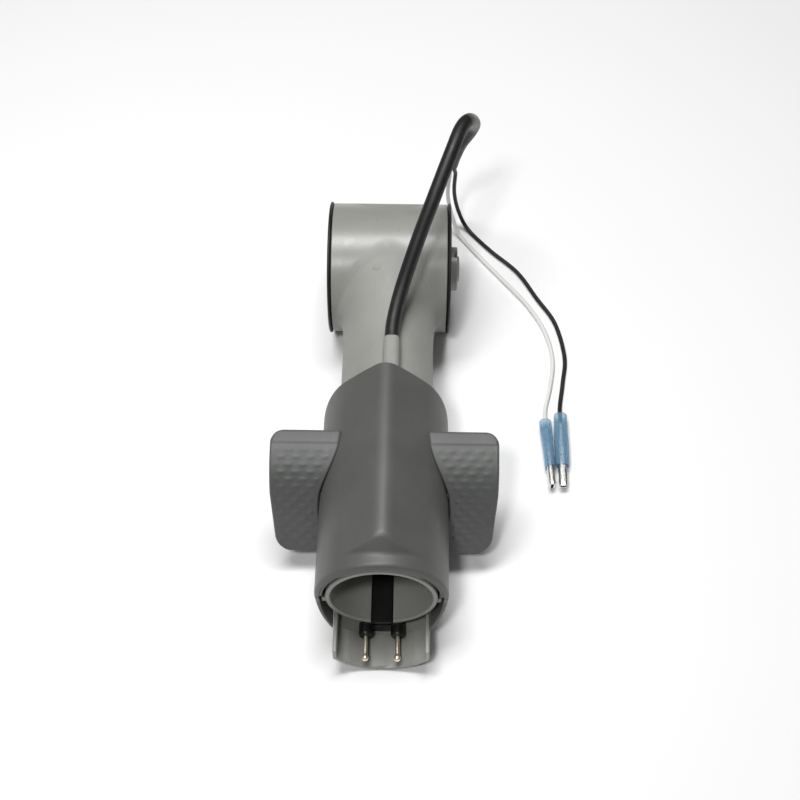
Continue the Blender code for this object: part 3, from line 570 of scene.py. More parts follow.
def make_drum():
    inner, half = DRUM_RADIUS - DRUM_WALL, DRUM_HALF
    profile = softened([(inner, -half), (DRUM_RADIUS, -half), (DRUM_RADIUS, half), (inner, half)], 0.4)
    bore = rod(NECK_BORE, "Y", (0, 0, 0), -30, -8, 96)
    return carved(lathe(profile, "X", steps=192), [port_cutter(), bore])


def about_neck(radius, y, angle):
    """A place at a distance and an angle from the neck's axis."""
    return Vector((radius * cos(angle), y, radius * sin(angle)))


def neck_ring(radius, y):
    return [about_neck(radius, y, angle) for angle in full_turn()]


def drum_depth(radius, angle, drum_radius):
    """Where a line along the neck, at a distance and angle from its axis, meets a cylinder like the drum."""
    return -sqrt(drum_radius**2 - (radius * sin(angle)) ** 2)


def drum_ring(radius_at, drum_radius):
    """A ring round the neck that lies on a cylinder on the drum's axis."""
    rings = [(radius_at(angle), angle) for angle in full_turn()]
    return [about_neck(radius, drum_depth(radius, angle, drum_radius), angle) for radius, angle in rings]


def junction_out(angle):
    """How far the fillet reaches out from the neck: less at the sides, where the drum ends."""
    return JUNCTION_OUT[0] + (JUNCTION_OUT[1] - JUNCTION_OUT[0]) * sin(angle) ** 2


def junction_point(share, angle):
    """A place on the fillet that runs from the drum's skin (share 0) into the neck's (share 1)."""
    out = junction_out(angle)
    radius = NECK_RADIUS + out
    depth = drum_depth(radius, angle, DRUM_RADIUS - 0.004)
    steepness = -radius * sin(angle) ** 2 / depth
    on_drum = Vector((radius, depth))
    corner = Vector((NECK_RADIUS, depth - steepness * out))
    on_neck = corner - Vector((0, JUNCTION_ALONG))
    radius, y = on_drum * (1 - share) ** 2 + corner * 2 * share * (1 - share) + on_neck * share**2
    return about_neck(radius, y, angle)


def make_neck():
    """The neck: fillet, tube, socket, and back through the bore to a hidden foot in the drum's wall."""
    rings = [[junction_point(n / 28, angle) for angle in full_turn()] for n in range(29)]
    start, end = (NECK_RADIUS, -47.0), (NECK_BORE, -40.0)
    outline = [start, (NECK_RADIUS, SOCKET_START + 2.0), (SOCKET_RADIUS, SOCKET_START)]
    outline += [(SOCKET_RADIUS, MOUTH), (SOCKET_BORE, MOUTH), (SOCKET_BORE, SOCKET_STOP)]
    outline += [(NECK_BORE, SOCKET_STOP), end, (16.0, -36.0)]
    soft = softened(outline, 0.55)
    first, last = (soft.index(min(soft, key=lambda p: dist(p, at))) for at in (start, end))
    rings += [neck_ring(r, y) for r, y in soft[first : last + 1]]
    rings.append(drum_ring(lambda angle: NECK_BORE, DRUM_RADIUS - DRUM_WALL - 0.1))
    for out, sunk in ((-3.0, 1.2), (1.1, 0.5), (0.95, 0.4), (0.6, 0.16), (0.3, 0.05)):
        rings.append(drum_ring(lambda angle: NECK_RADIUS + junction_out(angle) + out, DRUM_RADIUS - sunk))
    plug_slot = block((-PLUG_SLOT_HALF, MOUTH - 2, -20.5), (PLUG_SLOT_HALF, PLUG_SLOT_START, -15), 0.3)
    tooth_slot = block((-2.4, -136.8, 15), (2.4, -131.2, 20.5), 0.3)
    return carved(tube(rings), [plug_slot, tooth_slot])


def make_conduit():
    """The raised channel that leads the cord on to the neck."""
    stations = [(CONDUIT_FRONT, 0.35), (CONDUIT_FRONT + 0.35, 0), (CONDUIT_REAR - 0.5, 0)]
    stations += [(CONDUIT_REAR - 0.15, 0.15), (CONDUIT_REAR, 0.5)]

    def ring(y, low, high, half, inset, power):
        here = (Vector((CONDUIT_X, y, (low + high) / 2)), Vector((0, 0, 1)), Vector((1, 0, 0)))
        return ring_at(here, half - inset, (high - low) / 2 - inset, 48, power)

    rings = [ring(y, 15.6, CONDUIT_TOP, CONDUIT_HALF, inset, 0.62) for y, inset in stations]
    rings += [ring(y, CHANNEL_FLOOR, CHANNEL_TOP, 1.6, 0, 0.7) for y in (CONDUIT_REAR, CONDUIT_FRONT)]
    return tube(rings)


def make_neck_details():
    """Ears for the latch's pivot, stops for the springs, screw bosses and the tabs beside the mouth."""
    solids = []
    for side in (-1, 1):
        outline = [(PIVOT_Y - 2.0, 15.5), (PIVOT_Y + 2.0, 15.5)]
        outline += arc((PIVOT_Y, PIVOT_Z), 1.6, 0, 180, 16)
        low, high = sorted((side * 2.4, side * 4.2))
        solids.append(prism(outline, "X", low, high, 0.2))
        angle = radians(90 - side * 45)
        out = Vector((cos(angle), sin(angle)))
        across = Vector((-out.y, out.x)) * 1.7
        stop = [out * 16.2 - across, out * 16.2 + across, out * 20.6 + across, out * 20.6 - across]
        solids.append(prism(softened([tuple(p) for p in stop], 0.4, keep_axis=False), "Y", *SPRING_STOP, 0.2))
        place = (side * HOUSING_SCREW_X, HOUSING_SCREW_Y, 0)
        hole = rod(0.9, "Z", place, -24, -17.2, 32)
        solids.append(carved(rod(2.0, "Z", place, -20.9, -14), [hole]))
        solids.append(sided_block(side, (SOCKET_RADIUS - 0.9, -147.0, -4.2), (20.6, -144.0, -1.8), 0.3))
    for y in COVER_SCREW_YS:
        hole = rod(1.1, "Z", (0, y, 0), -24, -16.4, 32)
        solids.append(carved(rod(2.6, "Z", (0, y, 0), -20.9, -16.2), [hole]))
    return solids


def make_gate_mark():
    """The round vestige of the moulding gate, where the neck runs out of the drum."""
    profile = [(0, 0), (1.35, 0), (1.35, 0.22), (0.8, 0.22), (0.6, 0.34), (0, 0.34)]
    bm = lathe(softened(profile, 0.1), "Z", steps=40)
    share, angle = 0.22, radians(103.2)
    place = junction_point(share, angle)
    down = junction_point(share + 0.01, angle) - place
    round_neck = junction_point(share, angle + 0.01) - place
    outward = round_neck.cross(down).normalized()
    outward *= 1 if outward.z > 0 else -1
    bmesh.ops.transform(bm, matrix=outward.to_track_quat("Z", "Y").to_matrix().to_4x4(), verts=bm.verts)
    bmesh.ops.translate(bm, vec=place - outward * 0.12, verts=bm.verts)
    return bm


def make_end_cap(name, side):
    """A disc that closes one end of the drum, with a ribbed recess and the trunnion it tilts on."""
    face, tip = SEAL_HIGH.x - 0.3, max(abs(corner.x) for corner in span(name))
    end = tip - (0.8 if side > 0 else 0.5)
    step = SEAL_LOW.x - 0.6
    profile = [(0, CAP_LOW.x), (CAP_HIGH.z, CAP_LOW.x), (CAP_HIGH.z, step), (21.2, step), (21.2, face)]
    profile += [(19.8, face), (19.5, face - 0.9), (10.9, face - 0.9), (10.6, face), (8.75, face), (8.75, end)]
    profile += [(5.0, end), (5.0, tip), (0, tip)]
    shaped = [(r, side * x) for r, x in softened(profile, 0.3)]
    foot = max(tip - 2.1, face + 0.05)
    slots = [sided_block(side, (foot, -1.4, z - 2.2), (30, 1.4, z + 2.2), 0.3) for z in (-7.6, 7.6)]
    solids = [carved(lathe(shaped, "X", steps=128), slots)]
    for n in range(8):
        rib = sided_block(side, (face - 1.2, 10.2, -0.6), (face - 0.15, 20.2, 0.6), 0.2)
        turn = Matrix.Rotation(tau * (n + 0.5) / 8, 3, "X")
        bmesh.ops.rotate(rib, cent=(0, 0, 0), matrix=turn, verts=rib.verts)
        solids.append(rib)
    piece(name + "_moulding", name, solids, "light_grey")


def make_end_seal(name, side):
    """A rubber ring with a rounded wiping lip."""
    low, high, outer = SEAL_LOW.x, SEAL_HIGH.x, SEAL_HIGH.z
    middle = (low + high) / 2
    profile = [(21.5, low), (outer - 0.5, low), (outer, middle - 0.25), (outer, middle + 0.25)]
    profile += [(outer - 0.5, high), (24.4, high), (24.1, high - 0.3), (23.7, high - 0.3)]
    profile += [(23.4, high), (21.5, high)]
    shaped = [(r, side * x) for r, x in softened(profile, 0.25)]
    piece(name + "_ring", name, [lathe(shaped, "X", steps=192)], "rubber_black")


def make_socket_seal():
    low, high = SOCKET_SEAL_LOW.y, SOCKET_SEAL_HIGH.y
    profile = [(17.3, high), (17.3, low), (16.4, low), (15.6, (low + high) / 2), (16.4, high)]
    piece("socket_seal_ring", "socket_seal", [lathe(softened(profile, 0.25), "Y")], "rubber_black")


# ---- Cover ----


def roof_radius(angle, radius, ridge):
    """Distance from the neck's axis to a roofed section, at an angle in radians from +X."""
    lean = abs(angle - pi / 2)
    if lean >= ROOF_SLOPE:
        return radius
    centre = (radius - ridge) / cos(ROOF_SLOPE)
    flat = radius / cos(ROOF_SLOPE - lean)
    reach = centre * cos(lean) + sqrt(max(ridge**2 - (centre * sin(lean)) ** 2, 0))
    on_round = atan2(ridge * sin(ROOF_SLOPE), centre + ridge * cos(ROOF_SLOPE))
    return reach if lean < on_round else flat


def hip_height(angle, y, drop):
    """How far the sloping facet that ends the ridge stands over the round skin, with a fillet at its foot."""
    foot = HIP_FOOT + HIP_BOW * cos(angle) ** 2
    over = HIP_SLOPE * (y - foot) - drop
    mixed = max(HIP_FILLET - abs(over), 0.0) / HIP_FILLET
    return max(over, 0.0) + mixed * mixed * HIP_FILLET / 4


def cover_point(angle, y, inset):
    """How far the cover's skin, inset millimetres inside its outer face, stands from the neck's axis."""
    radius = COVER_RADIUS - inset
    roof = roof_radius(angle, radius, RIDGE_ROUND - inset) - radius
    hip = hip_height(angle, y, inset * (sqrt(1 + HIP_SLOPE**2) - 1))
    over = 0.0
    if roof > 1e-5 and hip > 1e-5:
        over = (roof**-10 + hip**-10) ** -0.1
    return radius + over


def end_shift(y, z):
    """How far the cover's curved rear edge and leaning front edge move a place on its skin."""
    if y > RIDGE_END + 25:
        return -REAR_CURVE * (RIDGE_TOP - max(z, 0)) ** 2
    share = max(FLANGE_REAR - y, 0) / (FLANGE_REAR - COVER_FRONT)
    return -FRONT_LEAN * max(FRONT_LEAN_START - z, 0) * share


def cover_stations():
    """(inset, y, fixed radius) of each row, round the shell: outer skin, rear wall, inner skin, front lip."""
    rim = 0.6
    lip = 1.4
    turns = [radians(90 * n / 6) for n in range(7)]
    rows = [(lip * (1 - sin(t)), COVER_FRONT + lip * (1 - cos(t)), None) for t in turns]
    rows += [(0, COVER_FRONT + lip + 0.14 * n, None) for n in range(1, 94)]
    rows += [(0, y, None) for y in (-130, -120, -110, -100, -90, -80)]
    rows += [(rim * (1 - cos(t)), COVER_REAR - rim * (1 - sin(t)), None) for t in turns]
    rows += [(0, COVER_REAR, REAR_WALL_RADIUS + 0.2), (0, COVER_REAR - 0.2, REAR_WALL_RADIUS)]
    rows += [(0, COVER_REAR - REAR_WALL, REAR_WALL_RADIUS)]
    rows += [(COVER_WALL, COVER_REAR - REAR_WALL, None)]
    rows += [(COVER_WALL, y, None) for y in (-80, -100, -120, -130)]
    rows += [(COVER_WALL, RIDGE_END + 4 - 0.5 * n, None) for n in range(23)]
    rows += [(COVER_WALL, COVER_FRONT + 0.3, None), (COVER_WALL - 0.15, COVER_FRONT, None)]
    return rows


def cover_shell(upper):
    """Half of the cover, with small chamfers along the split."""
    start, count = (0.0, 240) if upper else (pi, 140)
    start, end = start + SPLIT_ANGLE, start + pi - SPLIT_ANGLE
    chamfer = 0.25
    step = chamfer / COVER_RADIUS
    angles = [start] + [start + step + (end - start - 2 * step) * i / count for i in range(count + 1)] + [end]
    bm = bmesh.new()
    rows = []
    for inset, y, fixed in cover_stations():
        row = []
        for i, angle in enumerate(angles):
            here = inset
            if i in (0, len(angles) - 1) and not fixed:
                here = inset + chamfer if inset < 1 else inset - chamfer
            place = about_neck(fixed or cover_point(angle, y, here), y, angle)
            row.append((place.x, y + end_shift(y, place.z), place.z))
        rows.append(row_of(bm, row))
    skin(bm, rows, around=False, along=True)
    for at in (0, -1):
        bm.faces.new([row[at] for row in rows])
    return tidied(bm)


def front_flange():
    """The lip that closes the cover in on the socket's mouth, closest over the top."""
    outer = COVER_RADIUS - COVER_WALL + 0.1
    front = COVER_FRONT + 0.02
    rings = []
    for turn in range(3, 178):
        near_top = clamped((FLANGE_TURN + 5 - abs(turn - 90)) / 10)
        inner = FLANGE_RADII[1] + (FLANGE_RADII[0] - FLANGE_RADII[1]) * near_top**2 * (3 - 2 * near_top)
        inner_edge = softened([(inner, FLANGE_REAR), (inner, front), (outer, front)], 0.5, 4, False)
        section = [*inner_edge[1:-1], (outer, front), (outer, FLANGE_REAR), (inner, FLANGE_REAR)]
        rings.append([about_neck(r, y, radians(turn)) for r, y in section])
    return loft(rings)


def pedal_slots():
    low, high = (18.0, PEDAL_SLOT[0], -PEDAL_SLOT_HALF), (26.0, PEDAL_SLOT[1], PEDAL_SLOT_HALF)
    return [sided_block(side, low, high, 1.0) for side in (-1, 1)]


def make_covers():
    reach = CONDUIT_HALF + 0.3
    notch = block((CONDUIT_X - reach, -76, 10), (CONDUIT_X + reach, -64, CONDUIT_TOP + 0.3), 0.8)
    upper = carved(cover_shell(True), [*pedal_slots(), notch])
    piece("upper_cover_shell", "upper_cover", [upper, front_flange()], "dark_grey")
    reach = HOUSING_HALF + 0.3
    cutaway = block((-reach, COVER_FRONT - 12, -30), (reach, HOUSING_HIGH.y + 0.3, -11.5), 0.3)
    holes = [rod(1.35, "Z", (0, y, 0), -26, -18, 32) for y in COVER_SCREW_YS]
    lower = carved(cover_shell(False), [*pedal_slots(), cutaway, *holes])
    piece("lower_cover_shell", "lower_cover", [lower], "dark_grey")


# ---- Plug and its housing ----


def trough_ring(inset, y, top):
    """The trough's section: upright sides that run into a round bottom, in one closed outline."""
    half, radius = HOUSING_HALF - inset, HOUSING_BOTTOM_RADIUS - inset
    reach = degrees(acos(half / radius))
    bottom = arc((0, HOUSING_CENTRE_Z), radius, 180 + reach, 360 - reach, 60)
    lean = 0.36 * (HOUSING_WALL - 2 * inset)
    rim = [(half - lean, top), (half - lean * 0.3, top - 0.2), (half, top - 0.7)]
    left = [(-x, z) for x, z in rim]
    return [(x, y, z) for x, z in [*left, *bottom, *reversed(rim)]]


def trough_shell():
    """The trough: outer skin, rear wall, inner skin and rounded front rim, open at the top."""
    front, rear = HOUSING_LOW.y, HOUSING_HIGH.y
    top = HOUSING_HIGH.z
    stations = [(0.5, front), (0.15, front + 0.15), (0, front + 0.5)]
    stations += [(0, rear - 0.6), (0.2, rear - 0.2), (0.6, rear)]
    bm = bmesh.new()
    outer = [row_of(bm, trough_ring(inset, y, top)) for inset, y in stations]
    inner = [row_of(bm, trough_ring(HOUSING_WALL, rear - HOUSING_WALL, top))]
    for inset, y in ((0, front + 0.5), *stations[1::-1]):
        inner.append(row_of(bm, trough_ring(HOUSING_WALL - inset, y, top)))
    for rows in (outer, inner, [inner[-1], outer[0]]):
        skin(bm, rows, around=False)
    bm.faces.new(outer[-1])
    bm.faces.new(inner[0])
    for end in (0, -1):
        bm.faces.new([row[end] for row in outer + inner])
    bm.faces.new((outer[-1][0], outer[-1][-1], inner[0][-1], inner[0][0]))
    return tidied(bm)


def floor_pad():
    """The thicker floor in front of the plug, in soft waves that sink in at its sides."""
    base, lift, half = HOUSING_BOTTOM_RADIUS - HOUSING_WALL + 0.4, 0.9, 14.4
    rings = []
    for y in (HOUSING_LOW.y + 0.35, HOUSING_LOW.y + 0.8, HOUSING_LOW.y + 3.0, -149.4):
        sunk = 0.5 if y < HOUSING_LOW.y + 0.5 else 0.0
        ring = []
        for n in range(121):
            x = half * (2 * n / 120 - 1)
            wave = 0.5 + 0.5 * cos(tau * x / (2 * PIN_X))
            edge = min(1.0, (half - abs(x)) / 3.0)
            height = max(lift * (0.35 + 0.65 * wave) * edge**0.5 - sunk, 0.02)
            ring.append((x, y, HOUSING_CENTRE_Z - sqrt((base - height) ** 2 - x**2)))
        ring += [(x, y, HOUSING_CENTRE_Z - sqrt((base + 0.3) ** 2 - x**2)) for x in (12, 6, 0, -6, -12)]
        rings.append(ring)
    return loft(rings)


def make_plug_housing():
    clear = [(0, -150), (SOCKET_RADIUS + 0.3, -150), (SOCKET_RADIUS + 0.3, -100), (0, -100)]
    cutters = [lathe(clear, "Y", steps=96)]
    pads = []
    for side in (-1, 1):
        place = (side * HOUSING_SCREW_X, HOUSING_SCREW_Y, 0)
        hole = rod(1.0, "Z", place, -28, -18, 32)
        cutters.append(rod(1.0, "Z", place, -29, -18, 32))
        pads.append(carved(rod(2.2, "Z", place, -25.3, -21.2, 48), [hole]))
        cutters.append(block((side * PIN_X - 1.5, -114.5, -23.0), (side * PIN_X + 1.5, -111, -17), 0.3))
    trough = carved(trough_shell(), cutters)
    piece("plug_housing_trough", "plug_housing", [trough, floor_pad(), *pads], "light_grey")


def make_plug():
    """The moulded plug: a block under the socket, a rib that fills the socket's slot, and two collars."""
    top, bottom = SOCKET_RADIUS + 0.3, HOUSING_BOTTOM_RADIUS - HOUSING_WALL - 0.3
    spread, low = (degrees(asin(PLUG_HALF / r)) for r in (top, bottom))
    outline = arc((0, 0), top, 270 + spread, 270 - spread, 16)
    outline += arc((0, HOUSING_CENTRE_Z), bottom, 270 - low, 270 + low, 16)
    solids = [prism(softened(outline, 0.5, keep_axis=False), "Y", MOUTH, PLUG_HIGH.y, 0.4)]
    rib = degrees(asin(3.6 / 17.9))
    rib_outline = arc((0, 0), 17.9, 270 + rib, 270 - rib, 12) + [(-3.6, -20.5), (3.6, -20.5)]
    solids.append(prism(rib_outline, "Y", MOUTH, PLUG_SLOT_START - 0.3, 0.25))
    profile = [(0, MOUTH + 1), (2.5, MOUTH + 1), (2.5, PLUG_LOW.y + 0.8), (2.1, PLUG_LOW.y), (0, PLUG_LOW.y)]
    for side in (-1, 1):
        place = (side * PIN_X, 0, PIN_Z)
        mouth = rod(1.1, "Y", place, PLUG_LOW.y - 1, PLUG_LOW.y + 3, 48)
        solids.append(carved(lathe(softened(profile, 0.3), "Y", place, 64), [mouth]))
    piece("plug_moulding", "plug_body", solids, "black_plastic")


def make_contact_pin(name, side):
    """A pin with a rounded tip, and a crimp barrel behind the plug."""
    low, high = (corner.y for corner in span(name))
    tip = ((0, 0), (0.6, 0.1), (1.0, 0.4), (1.2, 0.9), (1.2, 1.5), (1.0, 2.1), (0.8, 2.8))
    tail = [(0.8, high - 4.4), (1.3, high - 4.1), (1.3, high), (0, high)]
    shaped = softened([(r, low + y) for r, y in tip] + tail, 0.2, 3)
    piece(name + "_turned", name, [lathe(shaped, "Y", (side * PIN_X, 0, PIN_Z), 48)], "brass")


# ---- Wiring ----


def cord_centreline():
    """From the front of the conduit, up over the drum in an arch, to the sleeve's open end behind it."""
    middle = (CHANNEL_FLOOR + CHANNEL_TOP) / 2 + 0.15
    straight = [(CONDUIT_X, CONDUIT_FRONT - 2.5, middle), (CONDUIT_X, -62, middle), (CONDUIT_X, -53, middle)]
    rise = [(2.2, -45, 22.0), (5.1, -33.5, 27.5), (10.9, -20.5, 40), (16.8, -9, 51.5), (22.8, 5.5, 59.5)]
    turn = [(26.4, 15.5, 61.9), (29.5, 21.9, 60), (31.5, 25.8, 54.5), (30.4, 30.4, 46), (27.5, 34.6, 36)]
    turn += [(25.4, 37.8, 26), (24.3, 40.0, 18.5)]
    return smooth_path(straight + rise + turn, 12)


def inside_run(side, height):
    """A wire's way from its pin, round the neck under the cover, to the conduit."""
    ring = (NECK_RADIUS + COVER_RADIUS - COVER_WALL) / 2
    tail = span("contact_pin_right")[1].y
    found = [(side * PIN_X, tail + y, PIN_Z + z) for y, z in ((0.3, 0), (2.2, 0.5), (4.6, 2.3))]
    for turn, y in ((-73, -107), (-72, -101), (-50, -95), (-20, -90.5), (8, -87), (34, -84), (54, -81.6)):
        place = about_neck(ring, y, radians(turn))
        found.append((side * place.x, y, place.z))
    rise = (height - 18.4) / 2
    found.append((side * 7.0, -79.3, 18.2 + rise * 0.4))
    return found + [(CONDUIT_X + side * 2.4, -77.2, 18.5 + rise * 1.5)]


def outside_run(side):
    """A wire's way from the sleeve's end down to the table and round to its terminal."""
    z = TABLE_WIRE_Z
    if side > 0:
        drop = [(26.4, 45.6, 8), (26.4, 48.2, -6), (28.6, 48.6, -18), (33.0, 44.6, z + 0.6)]
        lie = [(42.4, 33.0), (53.7, 20.8), (61.5, 6.5), (68.5, -6.8), (71.6, -24), (70.2, -37), (68.4, -49)]
        end = (68.0, -57)
    else:
        drop = [(24.0, 43.6, 9), (23.6, 45.8, -5), (25.6, 45.6, -17), (29.4, 41.0, z + 0.6)]
        lie = [(38.0, 29.0), (48.4, 15.1), (57.5, 2.5), (64.0, -11.0), (66.6, -26), (64.8, -40), (62.4, -51)]
        end = (62.1, -60)
    return drop + [(x, y, z) for x, y in lie] + [(*end, TERMINAL_Z)]


def swept(centres, radius, sides, ends=0.3):
    """A round wire with softened ends."""
    frames = frames_along(centres)
    rings = [ring_at(f, radius, radius, sides) for f in frames]
    for at, ahead in ((0, 1), (-1, -2)):
        out = (frames[at][0] - frames[ahead][0]).normalized()
        centre, normal, binormal = frames[at]
        cap = ring_at((centre + out * ends * 0.6, normal, binormal), radius - ends, radius - ends, sides)
        rings.insert(0, cap) if at == 0 else rings.append(cap)
    return loft(rings)


def make_wire(name, side, slot):
    middle = [centre + normal * side * WIRE_OFFSET for centre, normal, _ in frames_along(cord_centreline())]
    start = inside_run(side, middle[0].z)
    path = smooth_path(start, 8) + middle[1:] + smooth_path(outside_run(side), 10)
    piece(name + "_insulation", name, [swept(path, WIRE_RADIUS, 20)], slot)


def make_cord_sleeve():
    """The rubber sleeve, open where the wires leave it."""
    frames = frames_along([p for p in cord_centreline() if p.y > CONDUIT_REAR + 0.3])
    rings = [ring_at(f, SLEEVE_RADIUS, SLEEVE_RADIUS, 40) for f in frames]
    rings += [ring_at(f, SLEEVE_BORE, SLEEVE_BORE, 40) for f in reversed(frames)]
    # Its look is the rubber with a painted highlight on the top of the bend.
    piece("cord_sleeve_jacket", "cord_sleeve", [tube(rings)], "rubber_black", look="rubber_painted_highlight")


def make_cord_grommet():
    middle = (CHANNEL_FLOOR + CHANNEL_TOP) / 2 + 0.15
    holes = []
    for sign in (-1, 1):
        place = (CONDUIT_X, 0, middle + sign * WIRE_OFFSET)
        holes.append(rod(1.1, "Y", place, CONDUIT_FRONT - 5, CONDUIT_FRONT + 3, 32))
    body = carved(block(GROMMET_LOW, GROMMET_HIGH, 0.3), holes)
    piece("cord_grommet_block", "cord_grommet", [body], "rubber_black")


def terminal_rings(side, shape, sides, power):
    """Rings along a terminal, each given as its share of the length, half its width and half its height."""
    start, end = (Vector((*p, TERMINAL_Z)) for p in TERMINAL_ENDS[side])
    frames = frames_along([start.lerp(end, share) for share, _, _ in shape])
    return [ring_at(f, wide, tall, sides, power) for f, (_, wide, tall) in zip(frames, shape)]


def make_terminal_sleeve(name, side):
    """The crimped insulator: a round barrel that flattens into a pocket, lying flat or on its edge."""
    if side > 0:
        shape = [(0.0, 2.5, 2.5), (0.01, 2.6, 2.6), (0.28, 2.7, 2.6), (0.36, 2.8, 2.4)]
        shape += [(0.6, 2.8, 2.3), (0.7, 2.65, 2.15), (0.72, 2.5, 2.0)]
    else:
        shape = [(0.0, 2.3, 2.4), (0.01, 2.4, 2.5), (0.28, 2.3, 2.5), (0.36, 2.1, 3.0)]
        shape += [(0.6, 2.0, 3.1), (0.7, 1.93, 2.95), (0.72, 1.85, 2.85)]
    inside = terminal_rings(side, [(share, wide - 0.5, tall - 0.5) for share, wide, tall in shape], 40, 0.8)
    body = tube(terminal_rings(side, shape, 40, 0.8) + inside[::-1])
    piece(name + "_moulding", name, [body], "blue_nylon")


def make_terminal_receptacle(name, side):
    """The bare metal: a crimp inside the sleeve and a slotted receptacle that sticks out of it."""
    wide, tall = (1.7, 1.35) if side > 0 else (1.35, 2.2)
    shape = [(0.14, 1.3, 1.3), (0.3, 1.3, 1.3), (0.42, wide, tall), (0.95, wide, tall)]
    shape.append((1.0, wide - 0.3, tall - 0.3))
    mouth = (wide - 0.5, 0.5) if side > 0 else (0.5, tall - 0.6)
    slot = loft(terminal_rings(side, [(share, *mouth) for share in (0.6, 0.85, 1.1)], 32, 0.5))
    body = carved(loft(terminal_rings(side, shape, 40, 0.6)), [slot])
    piece(name + "_pressing", name, [body], "steel")


# ---- Release pedal and latch ----


TREAD_PATH = smooth_path([(0, y, z) for y, z in TREAD_PROFILE], 24)
TREAD_RUN = [0.0]
for BEFORE, HERE in zip(TREAD_PATH, TREAD_PATH[1:]):
    TREAD_RUN.append(TREAD_RUN[-1] + (HERE - BEFORE).length)


def tread_point(share, depth):
    """(y, z) on the tread's profile, from the far edge (0) down to the near one (1)."""
    along = share * TREAD_RUN[-1]
    i = 0
    while i < len(TREAD_RUN) - 2 and TREAD_RUN[i + 1] < along:
        i += 1
    before, after = TREAD_PATH[max(i - 1, 0)], TREAD_PATH[min(i + 2, len(TREAD_PATH) - 1)]
    ahead = (after - before).normalized()
    t = (along - TREAD_RUN[i]) / (TREAD_RUN[i + 1] - TREAD_RUN[i])
    place = TREAD_PATH[i].lerp(TREAD_PATH[i + 1], t)
    return place.y - ahead.z * depth, place.z + ahead.y * depth


def tread_width(share):
    """The tread's outer edge: full span, drawn in towards the bottom, with both corners rounded."""
    width = TREAD_SPAN - 1.7 * max(share - 0.5, 0) / 0.5
    if share < 0.1:
        width -= 5.0 * (1 - sqrt(1 - (1 - share / 0.1) ** 2))
    if share > 0.87:
        width -= 6.0 * (1 - sqrt(max(1 - ((share - 0.87) / 0.13) ** 2, 0)))
    return width


def stud(x, along):
    """Height of the anti-slip studs, staggered from row to row, at a place on the tread."""
    row = round(along / STUD_ROW)
    shift = STUD_PITCH / 2 * (row % 2)
    dx = (x - shift + STUD_PITCH / 2) % STUD_PITCH - STUD_PITCH / 2
    dy = along - row * STUD_ROW
    far = (dx / 2.3) ** 2 + (dy / 1.25) ** 2
    return (1 - far) ** 2 * min(1.0, 0.35 + along / 45) if far < 1 else 0.0


def tread_place(side, share, across, under):
    """A place on a tread's upper or under skin, at shares of its length and width."""
    rim, length = 1.2, TREAD_RUN[-1]
    along = share * length
    z = tread_point(share, 0)[1]
    gap = TREAD_GAP * clamped((z - 1) / 5, 0.2)
    inner = sqrt((COVER_RADIUS + gap) ** 2 - max(z, TREAD_TUCK) ** 2)
    width = tread_width(share) - inner
    to_end = min(share, 1 - share) * length
    to_side = min(across, 1 - across) * width
    corner = min(1.0, hypot(max(0, 1 - to_end / rim), max(0, 1 - to_side / rim)))
    depth = rim * (1 - sqrt(1 - corner**2))
    if under:
        depth = TREAD_THICK - depth
    else:
        fade = clamped((to_side - 1.5) / 1.5) * clamped((to_end - 1.2) / 1.5)
        raised = stud(inner + width * across, along) * fade if along > 6.5 else 0.0
        plain = 1 - clamped((along - 5.0) / 0.8)
        depth += STUD_HEIGHT * (1 - max(raised, plain)) * (1 - corner)
    return side * (inner + width * across), *tread_point(share, depth)


def tread_plate(side):
    """One foot tread: a curved studded plate whose inner edge follows the cover."""
    columns, rows = 80, 170
    bm = bmesh.new()
    skins = []
    for under in (False, True):
        grid = []
        for i in range(rows + 1):
            row = [tread_place(side, i / rows, j / columns, under) for j in range(columns + 1)]
            grid.append(row_of(bm, row))
        skin(bm, grid, around=False)
        skins.append(grid)
    for at in (0, -1):
        skin(bm, [[row[at] for row in grid] for grid in skins], around=False)
        skin(bm, [grid[at] for grid in skins], around=False)
    return tidied(bm)


def saddle_band():
    """The arch over the neck that joins the two treads."""
    corners = [(SADDLE_INNER, SADDLE[0]), (SADDLE_OUTER, SADDLE[0]), (SADDLE_OUTER, SADDLE[1])]
    section = softened([*corners, (SADDLE_INNER, SADDLE[1])], 0.4)
    angles = [radians(-15 + 210 * n / 96) for n in range(97)]
    band = loft([[about_neck(r, y, angle) for r, y in section] for angle in angles])
    ramp_cutter = prism([(-104.4, 20.0), (-111.2, 20.67), (-111.2, 23), (-104.4, 23)], "X", -3.2, 3.2, 0)
    return carved(band, [ramp_cutter])


def make_release_pedal():
    rib = [tread_point(0.2 + 0.6 * n / 20, TREAD_THICK / 2) for n in range(21)]
    rib = [p for p in rib if p[1] > -ARM_HALF]
    rib += [(rib[-1][0], -ARM_HALF - 0.4), (SADDLE[1] + 4, -ARM_HALF - 0.4)]
    solids = [saddle_band()]
    for side in (-1, 1):
        solids.append(sided_block(side, (18.6, ARM_FRONT, -ARM_HALF), (26.5, SADDLE[1], ARM_HALF), 0.6))
        low, high = sorted((side * 24.2, side * 26.5))
        solids.append(prism(rib, "X", low, high, 0.3))
        solids.append(tread_plate(side))
    piece("release_pedal_moulding", "release_pedal", solids, "pedal_grey", "pedal")


